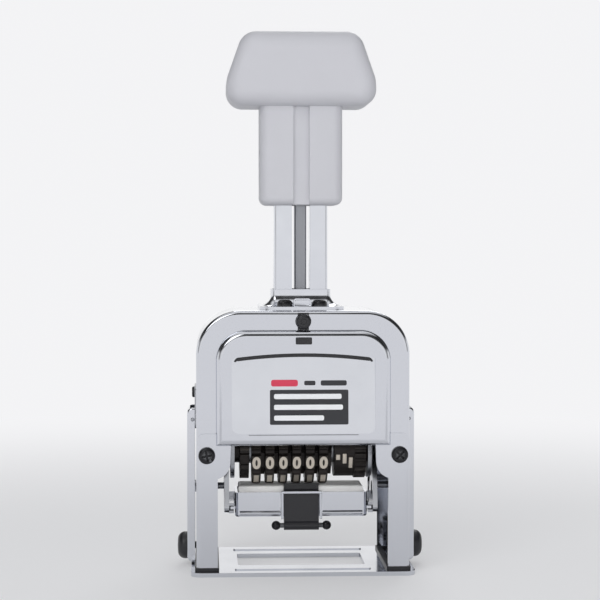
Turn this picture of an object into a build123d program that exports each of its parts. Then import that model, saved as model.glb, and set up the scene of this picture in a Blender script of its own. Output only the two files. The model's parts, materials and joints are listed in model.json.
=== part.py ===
from build123d import *
import math
import os

# Self-inking hand numbering machine: an inverted U frame on a windowed foot, a spring-loaded
# plunger with a T handle, and a head of six number wheels that the plunger carries down to the
# paper while a slotted bail swings the ink pad out of the way.
# Origin: middle of the foot's underside. +X to the right, -Y to the front, +Z up. Millimetres.

os.makedirs("parts", exist_ok=True)

# ---------------------------------------------------------------- driving dimensions
running = 0.05  # radial clearance of a shaft in its bore
sliding = 0.15  # clearance on each side of a flat slide
stroke = 24.0  # how far the plunger carries the head down

foot_width = 64.0
foot_depth = 43.2
foot_thickness = 1.2
foot_corner = 3.0
window_width = 37.0
window_depth = 19.0
bead_height = 0.3
bead_width = 1.3
bead_inset = 5.2
lug_thickness = 1.2
lug_width = 10.0
lug_height = 9.2

seat_height = 0.8  # dark liner between the foot and each leg
seat_margin = 0.4  # the liner shows by this much round the leg

frame_width = 61.0
frame_depth = 36.0
frame_top = 75.4
frame_wall = 1.5
frame_corner = 12.5
frame_edge = 1.2
leg_flange = 6.1
arch_flange = 5.5
arch_corner = 8.0

cover_width = 49.8
cover_bottom = 37.1
cover_margin = 5.5  # from the cover's upper edge to the frame's top
cover_corner = 8.6
cover_relief = 3.0
cover_sheet = 0.9
cover_edge = 1.8
panel_width = 40.8
panel_bottom = 40.5
panel_margin = 6.5  # from the panel's upper edge to the cover's
panel_crown = 1.4
panel_drop = 1.5  # depth of the recessed panel at its upper edge
panel_rise = 0.25  # depth of the recessed panel at its lower edge
ear_thickness = 1.2
ear_radius = 4.8
ear_x = 25.6
ear_z = 32.3
ear_root_x = 22.4  # the ear meets the cover's lower corner between these two round corners
ear_tip_x = 28.4
ear_root_z = 38.6
ear_root_radius = 1.8
ear_screw_x = 27.5
ear_screw_z = 34.35
ear_head_radius = 2.4
ear_screw_radius = 1.2
ear_head_height = 1.5

plate_width = 22.3
plate_height = 9.9
plate_thickness = 0.35
plate_x = 1.55
plate_z = 48.1

bar_width = 15.6  # both bars of the plunger and the slot between them
bar_depth = 9.0
bar_slot = 5.2
bar_edge = 0.9
post_width = 3.3
post_depth = 7.2
post_reach = 26.8  # of the spring post above the collar

collar_width = 24.4
collar_depth = 28.0
collar_base = 1.0
collar_neck_wall = 0.7
collar_height = 5.8
collar_flare = 3.4
collar_screw_x = 5.0
collar_screw_y = 11.4
collar_head_radius = 2.2
collar_screw_radius = 1.2
collar_screw_reach = 4.5  # how far the collar's screws run on into the guide block

block_width = 24.0
block_depth = 26.0
block_height = 7.4
stop_pin_radius = 1.0

lock_below = 3.0  # from the frame's top down to the lock button's middle
lock_radius = 2.1
lock_travel = 2.0
lock_proud = 2.6
lock_stem_radius = 1.1
tab_thickness = 0.6

stem_width = 24.0
stem_depth = 17.0
grip_gap = 0.4  # left between the handle and the collar at the end of the stroke
stem_height = 28.6
groove_width = 4.7
groove_depth = 1.2
grip_width = 43.2
grip_depth = 24.5
grip_height = 21.5
grip_roof = 4.5
handle_screw_rise = 14.0  # above the stem's lower end
handle_screw_radius = 1.25
handle_head_radius = 2.2
handle_head_sink = 2.0

axle_z = 34.0
axle_radius = 2.5
axle_end_radius = 2.0
wheel_pitch = 3.9
wheel_count = 6
first_wheel_x = -13.1
type_flat = 9.75  # from the axle to the flat that carries a figure
type_width = 2.6
type_notch = 1.1
type_raise = 0.25  # of the figures above their flats
ratchet_radius = 7.6
ratchet_depth = 1.0
ratchet_width = 1.2
digits = 10
dial_radius = 8.6
dial_drum_inset = 0.5  # the drum beside the dial's fluted rim is smaller by this much
dial_rim = 3.3
end_collar_radius = 8.6
spacer_radius = 4.0
feed_hub_radius = 4.2
feed_arm_width = 3.6

cheek_inner = 19.4
cheek_thickness = 1.2
cheek_radius = 8.5
cheek_depth = 18.0
bridge_bottom = 51.5
bridge_height = 5.5
bridge_depth = 18.0
shoe_depth = 13.0

bail_gap = 0.4
bail_thickness = 1.4
bail_turn = 110.0  # degrees that the pad swings over the whole stroke
stud_radius = 1.0
stud_head_radius = 1.8
slot_width = 5.2

tray_width = 38.6
tray_front = 6.8
tray_rear = 7.5
tray_bottom = 14.8
tray_height = 7.2
tray_sheet = 0.8
pad_clearance = 0.3
grip_block_width = 10.2
grip_pin_z = 12.4
grip_pin_span = 14.7
grip_ball_radius = 1.35
grip_tab_rise = 2.5  # of the grip's tab above the tray's rim
grip_tab_thickness = 0.7

lever_width = 11.6
lever_depth = 2.2
lever_wall = 0.8
lever_gap = 0.5
lever_bottom = 1.6
lever_top = 46.7
lever_pivot_z = 43.3
knob_z = 5.7
knob_radius = 3.95
knob_depth = 2.9
latch_pin_radius = 1.0
latch_hole_margin = 0.5  # lets the latch pin tilt with its lever
hinge_pin_radius = 0.5
hinge_pin_gap = 0.6  # from the bracket to the middle of its pin
bracket_thickness = 0.5
side_screw_z = 50.9
side_screw_radius = 0.9
side_head_radius = 1.6

# ---------------------------------------------------------------- derived places
leg_bottom = foot_thickness + seat_height
frame_half = frame_width / 2
frame_front = frame_depth / 2
web_inner = frame_half - frame_wall
arch_under = frame_top - frame_wall
cover_top = frame_top - cover_margin
panel_top = cover_top - panel_margin
lock_z = frame_top - lock_below
collar_top = frame_top + collar_height
post_top = collar_top + post_reach
bore_width = bar_width + 2 * sliding
bore_depth = bar_depth + 2 * sliding
stem_bottom = collar_top + stroke + grip_gap
grip_bottom = stem_bottom + stem_height
grip_top = grip_bottom + grip_height
fork_bottom = bridge_bottom + bridge_height
fork_top = grip_top - grip_roof - 0.2
fork_web = 4.0
slot_bottom = fork_bottom + fork_web
slot_top = fork_top - 1.8
post_bottom = slot_bottom + 0.3
cheek_outer = cheek_inner + cheek_thickness
bail_inner = cheek_outer + bail_gap
bail_outer = bail_inner + bail_thickness
stud_z = axle_z - stroke / 2
stud_y = (stroke / 2) / math.tan(math.radians(bail_turn / 2))
wheel_x = [first_wheel_x + wheel_pitch * n for n in range(wheel_count)]
ratchet_middle = type_width / 2 + ratchet_width / 2
sides = {"left": -1, "right": 1}

# The rear plane looks along +Y, with +Z up, as Plane.XZ looks along -Y.
rear_plane = Plane(origin=(0, 0, 0), x_dir=(-1, 0, 0), z_dir=(0, 1, 0))


def arch_outline(half, top, corner, bottom):
    """The closed outline of an arch with round upper corners, for a sketch that looks along Y."""
    with BuildLine() as outline:
        FilletPolyline((-half, bottom), (-half, top), (half, top), (half, bottom), radius=corner)
        Line((half, bottom), (-half, bottom))
    return outline.line


def axle_plane(x):
    """A sketch plane across the wheel axle at x: its origin is on the axle and it looks along +X."""
    return Plane(origin=(x, 0, axle_z), x_dir=(0, 1, 0), z_dir=(1, 0, 0))


# ---------------------------------------------------------------- foot plate
lug_outer = web_inner - 0.4
with BuildPart() as foot_plate:
    with BuildSketch():
        RectangleRounded(foot_width, foot_depth, foot_corner)
        RectangleRounded(window_width, window_depth, 1.0, mode=Mode.SUBTRACT)
    extrude(amount=foot_thickness)
    bead_y = foot_depth / 2 - bead_inset
    with BuildSketch(Plane.XY.offset(foot_thickness)):
        with GridLocations(0, 2 * bead_y, 1, 2):
            SlotOverall(window_width + 2, bead_width)
    extrude(amount=bead_height)
    with BuildSketch(Plane.XY.offset(foot_thickness)):
        with GridLocations(2 * lug_outer - lug_thickness, 0, 2, 1):
            Rectangle(lug_thickness, lug_width)
    extrude(amount=lug_height - foot_thickness)
    fillet(foot_plate.edges().filter_by(Axis.X).group_by(Axis.Z)[-1], radius=2.0)
    with BuildSketch(Plane.YZ):
        with Locations((0, knob_z)):
            Circle(latch_pin_radius + latch_hole_margin)
    extrude(amount=foot_width / 2, both=True, mode=Mode.SUBTRACT)
foot_plate.part.label = "foot_plate"
export_step(foot_plate.part, "parts/foot_plate.step")

# ---------------------------------------------------------------- dark liners under the legs
for side, sign in sides.items():
    with BuildPart() as leg_seat:
        middle = sign * (frame_half + web_inner - leg_flange + frame_wall) / 2
        with BuildSketch(Plane.XY.offset(foot_thickness)):
            with Locations((middle, 0)):
                RectangleRounded(leg_flange + 2 * seat_margin, frame_depth + 2 * seat_margin, 0.8)
                RectangleRounded(
                    leg_flange - 2 * frame_wall, frame_depth - 2 * frame_wall, 0.6, mode=Mode.SUBTRACT
                )
        extrude(amount=seat_height)
    leg_seat.part.label = f"leg_seat_{side}"
    export_step(leg_seat.part, f"parts/leg_seat_{side}.step")

# ---------------------------------------------------------------- frame
with BuildPart() as frame_shell:
    with BuildSketch(Plane.XZ):
        add(arch_outline(frame_half, frame_top, frame_corner, leg_bottom))
        make_face()
    extrude(amount=frame_front, both=True)
    rims = frame_shell.faces().filter_by(Axis.Y).edges()
    fillet(rims.filter_by(lambda edge: edge.center().Z > leg_bottom + 1), radius=frame_edge)
    with BuildSketch(Plane.XZ):
        add(arch_outline(frame_half - leg_flange, frame_top - arch_flange, arch_corner, 0))
        make_face()
    extrude(amount=frame_front, both=True, mode=Mode.SUBTRACT)
    with BuildSketch(Plane.XZ):
        add(arch_outline(web_inner, arch_under, frame_corner - frame_wall, 0))
        make_face()
    extrude(amount=frame_front - frame_wall, both=True, mode=Mode.SUBTRACT)
    # opening for the plunger, and the collar's four screws
    with BuildSketch(Plane.XY.offset(arch_under)):
        Rectangle(bore_width, bore_depth)
        with GridLocations(2 * collar_screw_x, 2 * collar_screw_y, 2, 2):
            Circle(collar_screw_radius + running)
    extrude(amount=2 * frame_wall, mode=Mode.SUBTRACT)
    # the lock button's hole is in the front flange only
    with BuildSketch(Plane.XZ.offset(frame_front - frame_wall)):
        with Locations((0, lock_z)):
            Circle(lock_radius + sliding)
    extrude(amount=2 * frame_wall, mode=Mode.SUBTRACT)
    with BuildSketch(Plane.XZ.offset(frame_front - frame_wall)):
        with Locations((0, lock_z)):
            Circle(lock_radius + sliding)
    extrude(amount=-lock_travel - 2 * sliding, mode=Mode.SUBTRACT)
    with BuildSketch(Plane.XZ):
        with Locations((-ear_screw_x, ear_screw_z), (ear_screw_x, ear_screw_z)):
            Circle(ear_screw_radius)
    extrude(amount=frame_depth, both=True, mode=Mode.SUBTRACT)
    # studs, latch pins and side screws go through the webs
    with BuildSketch(Plane.YZ):
        with Locations((stud_y, stud_z)):
            Circle(stud_radius)
        with Locations((0, knob_z)):
            Circle(latch_pin_radius + latch_hole_margin)
        with Locations((0, side_screw_z)):
            Circle(side_screw_radius)
    extrude(amount=frame_width, both=True, mode=Mode.SUBTRACT)
frame_shell.part.label = "frame_shell"
export_step(frame_shell.part, "parts/frame_shell.step")


# ---------------------------------------------------------------- front and rear covers
def pressed_cover(face_plane):
    """A pressed cover: a convex border round a sloping panel, with two screw ears below."""
    outward = Axis(face_plane.origin, face_plane.z_dir)
    seat = face_plane.offset(frame_front)
    slope = math.atan2(panel_drop - panel_rise, panel_top - panel_bottom)
    top_of_slope = face_plane.offset(frame_front + cover_relief - panel_drop)
    with BuildPart() as cover:
        with BuildSketch(seat):
            add(arch_outline(cover_width / 2, cover_top, cover_corner, cover_bottom))
            make_face()
        extrude(amount=cover_relief)
        fillet(cover.faces().sort_by(outward)[-1].edges(), radius=cover_edge)
        # the panel's plane meets the drop at its upper edge and nearly reaches the border below
        hinge_line = top_of_slope.from_local_coords((0, panel_top, 0))
        facing = face_plane.z_dir * math.cos(slope) + Vector(0, 0, 1) * math.sin(slope)
        tilted = Plane(hinge_line, x_dir=face_plane.x_dir, z_dir=facing)
        height = panel_top - panel_bottom
        half = panel_width / 2
        with BuildSketch(tilted):
            with BuildLine():
                left = Line((-half, -panel_crown), (-half, 2 - height))
                low_left = RadiusArc(left @ 1, (2 - half, -height), -2)
                low = Line(low_left @ 1, (half - 2, -height))
                low_right = RadiusArc(low @ 1, (half, 2 - height), -2)
                right = Line(low_right @ 1, (half, -panel_crown))
                ThreePointArc(right @ 1, (0, 0), left @ 0)
            make_face()
        extrude(amount=2 * cover_relief, mode=Mode.SUBTRACT)
        offset(amount=-cover_sheet, openings=cover.faces().sort_by(outward)[0])
        # ears lie on the front of the legs
        with BuildSketch(seat):
            for x in (-1, 1):
                with BuildSketch(mode=Mode.PRIVATE) as ear:
                    with Locations((x * ear_x, ear_z)):
                        Circle(ear_radius)
                    with Locations((x * ear_root_x, ear_root_z), (x * ear_tip_x, ear_root_z)):
                        Circle(ear_root_radius)
                    make_hull()
                add(ear.sketch)
        extrude(amount=ear_thickness)
        with BuildSketch(seat):
            with Locations((-ear_screw_x, ear_screw_z), (ear_screw_x, ear_screw_z)):
                Circle(ear_screw_radius)
        extrude(amount=ear_thickness, mode=Mode.SUBTRACT)
    return cover, tilted


front_cover, front_panel = pressed_cover(Plane.XZ)
front_cover.part.label = "front_cover"
export_step(front_cover.part, "parts/front_cover.step")

rear_cover = pressed_cover(rear_plane)[0]
rear_cover.part.label = "rear_cover"
export_step(rear_cover.part, "parts/rear_cover.step")

with BuildPart() as name_plate:
    with BuildSketch(front_panel):
        with Locations((plate_x, plate_z - panel_top)):
            RectangleRounded(plate_width, plate_height, 0.4)
    extrude(amount=plate_thickness)
name_plate.part.label = "name_plate"
export_step(name_plate.part, "parts/name_plate.step")

with BuildPart() as cover_screws:
    for face_plane in (Plane.XZ, rear_plane):
        outward = Axis(face_plane.origin, face_plane.z_dir)
        spots = [(-ear_screw_x, ear_screw_z), (ear_screw_x, ear_screw_z)]
        with BuildSketch(face_plane.offset(frame_front + ear_thickness)):
            with Locations(*spots):
                Circle(ear_head_radius)
        extrude(amount=ear_head_height)
        crown = cover_screws.faces().filter_by(Axis.Y).group_by(outward)[-1]
        fillet(crown.edges(), radius=1.0)
        with BuildSketch(face_plane.offset(frame_front + ear_thickness)):
            with Locations(*spots):
                Circle(ear_screw_radius)
        extrude(amount=-ear_thickness - frame_wall - 1.0)
cover_screws.part.label = "cover_screws"
export_step(cover_screws.part, "parts/cover_screws.step")

with BuildPart() as lock_tab:
    with BuildSketch(Plane.XZ.offset(frame_front + cover_relief)):
        with Locations((0, cover_top - 2.9)):
            RectangleRounded(4.6, 2.0, 0.3)
    extrude(amount=tab_thickness)
lock_tab.part.label = "lock_tab"
export_step(lock_tab.part, "parts/lock_tab.step")

# ---------------------------------------------------------------- collar on the arch
with BuildPart() as collar:
    with BuildSketch(Plane.XY.offset(frame_top)):
        RectangleRounded(collar_width, collar_depth, 4.0)
    extrude(amount=collar_base)
    base_top = frame_top + collar_base
    neck = (bore_width + 2 * collar_neck_wall, bore_depth + 2 * collar_neck_wall)
    with BuildSketch(Plane.XY.offset(base_top)):
        RectangleRounded(*neck, 1.4)
    extrude(amount=collar_top - base_top)
    flare = collar.edges().filter_by(
        lambda edge: abs(edge.center().Z - base_top) < 0.01
        and abs(edge.center().X) < neck[0] / 2 + 0.1
        and abs(edge.center().Y) < neck[1] / 2 + 0.1
    )
    fillet(flare, radius=collar_flare)
    with BuildSketch(Plane.XY.offset(frame_top)):
        Rectangle(bore_width, bore_depth)
        with GridLocations(2 * collar_screw_x, 2 * collar_screw_y, 2, 2):
            Circle(collar_screw_radius)
    extrude(amount=collar_top - frame_top, mode=Mode.SUBTRACT)
collar.part.label = "collar"
export_step(collar.part, "parts/collar.step")

with BuildPart() as collar_screws:
    with BuildSketch(Plane.XY.offset(base_top)):
        with GridLocations(2 * collar_screw_x, 2 * collar_screw_y, 2, 2):
            Circle(collar_head_radius)
    extrude(amount=1.9)
    fillet(collar_screws.faces().sort_by(Axis.Z)[-4:].edges(), radius=1.1)
    with BuildSketch(Plane.XY.offset(base_top)):
        with GridLocations(2 * collar_screw_x, 2 * collar_screw_y, 2, 2):
            Circle(collar_screw_radius)
    extrude(amount=-collar_base - frame_wall - collar_screw_reach)
collar_screws.part.label = "collar_screws"
export_step(collar_screws.part, "parts/collar_screws.step")

with BuildPart() as collar_clip:
    clip_rear = collar_screw_y - 1.8
    clip_front = collar_screw_y + 2.0
    with BuildSketch(Plane.YZ):
        with BuildLine():
            Polyline(
                (-clip_rear, base_top),
                (-clip_front, base_top),
                (-clip_front, base_top + 2.4),
                (-clip_front + 0.7, base_top + 2.4),
                (-clip_front + 0.7, base_top + 0.7),
                (-clip_rear, base_top + 0.7),
                close=True,
            )
        make_face()
    extrude(amount=2.6, both=True)
    fillet(collar_clip.edges().filter_by(Axis.Y).group_by(Axis.Z)[-1], radius=0.9)
collar_clip.part.label = "collar_clip"
export_step(collar_clip.part, "parts/collar_clip.step")

# ---------------------------------------------------------------- guide block under the arch
pin_z = arch_under - block_height + 2.2
with BuildPart() as guide_block:
    with BuildSketch(Plane.XY.offset(arch_under - block_height)):
        RectangleRounded(block_width, block_depth, 1.5)
        Rectangle(bore_width, bore_depth, mode=Mode.SUBTRACT)
    extrude(amount=block_height)
    # pocket and guide for the lock's stem
    with BuildSketch(Plane.XZ.offset(block_depth / 2)):
        with Locations((0, lock_z)):
            Circle(lock_radius + 0.7)
    extrude(amount=-4.0, mode=Mode.SUBTRACT)
    with BuildSketch(Plane.XZ):
        with Locations((0, lock_z)):
            Circle(lock_stem_radius + running)
    extrude(amount=block_depth / 2, mode=Mode.SUBTRACT)
    # cross hole for the pin that holds the spring post
    with BuildSketch(Plane.XZ):
        with Locations((0, pin_z)):
            Circle(stop_pin_radius)
    extrude(amount=block_depth / 2, both=True, mode=Mode.SUBTRACT)
    with BuildSketch(Plane.XY.offset(arch_under)):
        with GridLocations(2 * collar_screw_x, 2 * collar_screw_y, 2, 2):
            Circle(collar_screw_radius)
    extrude(amount=-collar_screw_reach, mode=Mode.SUBTRACT)
guide_block.part.label = "guide_block"
export_step(guide_block.part, "parts/guide_block.step")

with BuildPart() as spring_post:
    with BuildSketch(Plane.XY.offset(post_bottom)):
        RectangleRounded(post_width, post_depth, 0.5)
    extrude(amount=post_top - post_bottom)
    with BuildSketch(Plane.XZ):
        with Locations((0, pin_z)):
            Circle(stop_pin_radius)
    extrude(amount=block_depth / 2, both=True, mode=Mode.SUBTRACT)
spring_post.part.label = "spring_post"
export_step(spring_post.part, "parts/spring_post.step")

with BuildPart() as stop_pin:
    with BuildSketch(Plane.XZ):
        with Locations((0, pin_z)):
            Circle(stop_pin_radius)
    extrude(amount=block_depth / 2, both=True)
    chamfer(stop_pin.edges().filter_by(GeomType.CIRCLE), length=0.2)
stop_pin.part.label = "stop_pin"
export_step(stop_pin.part, "parts/stop_pin.step")

# ---------------------------------------------------------------- lock button
with BuildPart() as lock_button:
    cap_inner = frame_front - frame_wall - sliding
    with BuildSketch(Plane.XZ.offset(cap_inner)):
        with Locations((0, lock_z)):
            Circle(lock_radius)
    extrude(amount=frame_front + lock_proud - cap_inner)
    crown = lock_button.faces().filter_by(Axis.Y).sort_by(Axis.Y)[0]
    fillet(crown.edges(), radius=0.8)
    with BuildSketch(Plane.XZ.offset(cap_inner)):
        with Locations((0, lock_z)):
            Circle(lock_stem_radius)
    extrude(amount=-(cap_inner - bar_depth / 2 - lock_travel - 0.4))
lock_button.part.label = "lock_button"
export_step(lock_button.part, "parts/lock_button.step")

# ---------------------------------------------------------------- bail studs and side screws
with BuildPart() as bail_studs:
    for sign in sides.values():
        with BuildSketch(Plane.YZ.offset(sign * (bail_inner - 0.1))):
            with Locations((stud_y, stud_z)):
                Circle(stud_radius)
        extrude(amount=sign * (frame_half - bail_inner + 0.1))
        with BuildSketch(Plane.YZ.offset(sign * frame_half)):
            with Locations((stud_y, stud_z)):
                Circle(stud_head_radius)
        extrude(amount=sign * 0.8)
        with BuildSketch(Plane.YZ.offset(sign * web_inner)):
            with Locations((stud_y, stud_z)):
                Circle(stud_head_radius)
        extrude(amount=-sign * 1.2)
bail_studs.part.label = "bail_studs"
export_step(bail_studs.part, "parts/bail_studs.step")

# ---------------------------------------------------------------- foot latches on the legs
pivot_x = frame_half + bracket_thickness + hinge_pin_gap
bracket_half = lever_width / 2 - lever_wall - 0.3
bracket_low = lever_pivot_z - 2.8
bracket_high = side_screw_z + side_head_radius + 0.6
lug_wall = 0.8
for side, sign in sides.items():
    outer = Plane.YZ.offset(sign * frame_half)
    with BuildPart() as latch_bracket:
        with BuildSketch(outer):
            with Locations((0, (bracket_low + bracket_high) / 2)):
                RectangleRounded(2 * bracket_half, bracket_high - bracket_low, 1.5)
        extrude(amount=sign * bracket_thickness)
        with BuildSketch(Plane.YZ.offset(sign * (frame_half + bracket_thickness))):
            with Locations((0, lever_pivot_z)):
                with GridLocations(2 * bracket_half - lug_wall, 0, 2, 1):
                    Rectangle(lug_wall, 2.6)
        extrude(amount=sign * (hinge_pin_gap + hinge_pin_radius + 0.1))
        with BuildSketch(Plane.XZ):
            with Locations((sign * pivot_x, lever_pivot_z)):
                Circle(hinge_pin_radius)
        extrude(amount=lever_width, both=True, mode=Mode.SUBTRACT)
        with BuildSketch(outer):
            with Locations((0, side_screw_z)):
                Circle(side_screw_radius)
        extrude(amount=sign * bracket_thickness, mode=Mode.SUBTRACT)
    latch_bracket.part.label = f"latch_bracket_{side}"
    export_step(latch_bracket.part, f"parts/latch_bracket_{side}.step")

    with BuildPart() as latch_lever:
        lever_outer = frame_half + lever_gap + lever_depth
        with BuildSketch(Plane.XY.offset(lever_bottom)):
            with Locations((sign * (lever_outer - lever_depth / 2), 0)):
                Rectangle(lever_depth, lever_width)
        extrude(amount=lever_top - lever_bottom)
        outside = latch_lever.faces().sort_by(Axis.X)[-1 if sign > 0 else 0]
        fillet(outside.edges().filter_by(Axis.Y), radius=1.6)
        outside = latch_lever.faces().filter_by(Axis.X).sort_by(Axis.X)[-1 if sign > 0 else 0]
        fillet(outside.edges().filter_by(Axis.Z), radius=0.6)
        with BuildSketch(Plane.XY.offset(lever_bottom)):
            with Locations((sign * (lever_outer - lever_wall - lever_depth / 2), 0)):
                Rectangle(lever_depth, lever_width - 2 * lever_wall)
        extrude(amount=lever_top - lever_bottom, mode=Mode.SUBTRACT)
        with BuildSketch(Plane.XZ):
            with Locations((sign * pivot_x, lever_pivot_z)):
                Circle(hinge_pin_radius + running)
        extrude(amount=lever_width, both=True, mode=Mode.SUBTRACT)
        with BuildSketch(Plane.YZ):
            with Locations((0, knob_z)):
                Circle(latch_pin_radius)
        extrude(amount=sign * 2 * frame_half, mode=Mode.SUBTRACT)
    latch_lever.part.label = f"latch_lever_{side}"
    export_step(latch_lever.part, f"parts/latch_lever_{side}.step")

    with BuildPart() as latch_knob:
        with BuildSketch(Plane.YZ.offset(sign * lever_outer)):
            with Locations((0, knob_z)):
                Circle(knob_radius)
        extrude(amount=sign * knob_depth)
        dome = latch_knob.faces().filter_by(Axis.X).sort_by(Axis.X)[-1 if sign > 0 else 0]
        fillet(dome.edges(), radius=2.2)
        with BuildSketch(Plane.YZ.offset(sign * lever_outer)):
            with Locations((0, knob_z)):
                Circle(latch_pin_radius)
        extrude(amount=-sign * (lever_outer - lug_outer + lug_thickness + 0.5))
    latch_knob.part.label = f"latch_knob_{side}"
    export_step(latch_knob.part, f"parts/latch_knob_{side}.step")

with BuildPart() as latch_pins:
    for sign in sides.values():
        with BuildSketch(Plane.XZ):
            with Locations((sign * pivot_x, lever_pivot_z)):
                Circle(hinge_pin_radius)
        extrude(amount=lever_width / 2, both=True)
latch_pins.part.label = "latch_pins"
export_step(latch_pins.part, "parts/latch_pins.step")

with BuildPart() as side_screws:
    for sign in sides.values():
        with BuildSketch(Plane.YZ.offset(sign * (frame_half + bracket_thickness))):
            with Locations((0, side_screw_z)):
                Circle(side_head_radius)
        extrude(amount=sign * 0.8)
        with BuildSketch(Plane.YZ.offset(sign * (frame_half + bracket_thickness))):
            with Locations((0, side_screw_z)):
                Circle(side_screw_radius)
        extrude(amount=-sign * (bracket_thickness + frame_wall))
side_screws.part.label = "side_screws"
export_step(side_screws.part, "parts/side_screws.step")

# ---------------------------------------------------------------- handle
handle_screw_z = stem_bottom + handle_screw_rise
with BuildPart() as handle_grip:
    with BuildSketch(Plane.XY.offset(stem_bottom)):
        RectangleRounded(stem_width, stem_depth, 3.0)
    extrude(amount=stem_height + 4)
    fillet(handle_grip.faces().sort_by(Axis.Z)[0].edges(), radius=2.2)
    half = grip_width / 2
    with BuildSketch(Plane.XZ):
        with BuildLine():
            FilletPolyline(
                (-half - 0.3, grip_bottom),
                (-half, grip_bottom + 7.8),
                (4.8 - half, grip_top),
                (half - 4.8, grip_top),
                (half, grip_bottom + 7.8),
                (half + 0.3, grip_bottom),
                radius=[4.9, 8.0, 5.5, 5.5, 8.0, 4.9],
                close=True,
            )
        make_face()
    extrude(amount=grip_depth / 2, both=True)
    ends = handle_grip.faces().filter_by(Axis.Y).group_by(Axis.Y)
    fillet(ends[0].edges() + ends[-1].edges(), radius=4.6)
    # finger grooves front and rear, and the pocket that takes the plunger
    with BuildSketch(Plane.XY.offset(stem_bottom)):
        with GridLocations(0, stem_depth, 1, 2):
            Rectangle(groove_width, 2 * groove_depth)
    extrude(amount=stem_height - 0.01, mode=Mode.SUBTRACT)
    with BuildSketch(Plane.XY.offset(stem_bottom)):
        Rectangle(bar_width + 0.1, bar_depth + 0.1)
    extrude(amount=grip_top - grip_roof - stem_bottom, mode=Mode.SUBTRACT)
    for sign in sides.values():
        with BuildSketch(Plane.YZ.offset(sign * stem_width / 2)):
            with Locations((0, handle_screw_z)):
                Circle(handle_head_radius + 0.1)
        extrude(amount=-sign * handle_head_sink, mode=Mode.SUBTRACT)
        with BuildSketch(Plane.YZ.offset(sign * stem_width / 2)):
            with Locations((0, handle_screw_z)):
                Circle(handle_screw_radius)
        extrude(amount=-sign * stem_width / 2, mode=Mode.SUBTRACT)
handle_grip.part.label = "handle_grip"
export_step(handle_grip.part, "parts/handle_grip.step")

with BuildPart() as plunger_fork:
    with BuildSketch(Plane.XY.offset(fork_bottom)):
        RectangleRounded(bar_width, bar_depth, bar_edge)
    extrude(amount=fork_top - fork_bottom)
    with BuildSketch(Plane.XY.offset(slot_bottom)):
        Rectangle(bar_slot, bar_depth)
    extrude(amount=slot_top - slot_bottom, mode=Mode.SUBTRACT)
    with BuildSketch(Plane.YZ):
        with Locations((0, handle_screw_z)):
            Circle(handle_screw_radius)
    extrude(amount=bar_width, both=True, mode=Mode.SUBTRACT)
plunger_fork.part.label = "plunger_fork"
export_step(plunger_fork.part, "parts/plunger_fork.step")

with BuildPart() as handle_screws:
    for sign in sides.values():
        with BuildSketch(Plane.YZ.offset(sign * (stem_width / 2 - handle_head_sink))):
            with Locations((0, handle_screw_z)):
                Circle(handle_head_radius)
        extrude(amount=sign * (handle_head_sink - 0.6))
        with BuildSketch(Plane.YZ.offset(sign * (stem_width / 2 - handle_head_sink))):
            with Locations((0, handle_screw_z)):
                Circle(handle_screw_radius)
        extrude(amount=-sign * (stem_width / 2 - handle_head_sink - bar_slot / 2 - 0.6))
handle_screws.part.label = "handle_screws"
export_step(handle_screws.part, "parts/handle_screws.step")

spring_wire = 0.4
spring_coils = 9
spring_radius = bar_slot / 2 - spring_wire - 0.2
spring_length = slot_top - post_top - 2 * spring_wire - 0.1
with BuildPart() as return_spring:
    spring_start = post_top + spring_wire + 0.05
    with BuildLine(Plane.XY.offset(spring_start)):
        coil = Helix(pitch=spring_length / spring_coils, height=spring_length, radius=spring_radius)
    with BuildSketch(Plane(coil @ 0, z_dir=coil % 0)):
        Circle(spring_wire)
    sweep()
return_spring.part.label = "return_spring"
export_step(return_spring.part, "parts/return_spring.step")

# ---------------------------------------------------------------- head: bridge, shoes, cheeks
hold_y = -7.2
hold_z = 10.2
hold_radius = 1.2
shoe_inner = frame_half - leg_flange + 0.2
shoe_outer = web_inner - sliding
with BuildPart() as head_bridge:
    with BuildSketch(Plane.XY.offset(bridge_bottom)):
        RectangleRounded(2 * shoe_inner, bridge_depth, 1.0)
    extrude(amount=bridge_height)
    fillet(head_bridge.faces().sort_by(Axis.Z)[-1].edges(), radius=0.8)
head_bridge.part.label = "head_bridge"
export_step(head_bridge.part, "parts/head_bridge.step")

for side, sign in sides.items():
    with BuildPart() as guide_shoe:
        shoe_middle = sign * (shoe_inner + shoe_outer) / 2
        with BuildSketch(Plane.XY.offset(bridge_bottom - 6)):
            with Locations((shoe_middle, 0)):
                RectangleRounded(shoe_outer - shoe_inner, shoe_depth, 0.8)
        extrude(amount=bridge_height + 10)
    guide_shoe.part.label = f"guide_shoe_{side}"
    export_step(guide_shoe.part, f"parts/guide_shoe_{side}.step")

    with BuildPart() as cheek:
        rise = bridge_bottom - axle_z
        with BuildSketch(axle_plane(sign * cheek_inner)):
            Circle(cheek_radius)
            with BuildLine():
                Polyline(
                    (-cheek_radius, 0),
                    (-cheek_depth / 2, rise - 4),
                    (-cheek_depth / 2, rise),
                    (cheek_depth / 2, rise),
                    (cheek_depth / 2, rise - 4),
                    (cheek_radius, 0),
                    close=True,
                )
            make_face()
            Circle(axle_end_radius, mode=Mode.SUBTRACT)
            with Locations((0, rise / 2 + 5)):
                SlotOverall(9.0, 3.6, mode=Mode.SUBTRACT)
            with Locations((hold_y, hold_z)):
                Circle(hold_radius, mode=Mode.SUBTRACT)
        extrude(amount=sign * cheek_thickness)
    cheek.part.label = f"cheek_{side}"
    export_step(cheek.part, f"parts/cheek_{side}.step")

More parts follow.
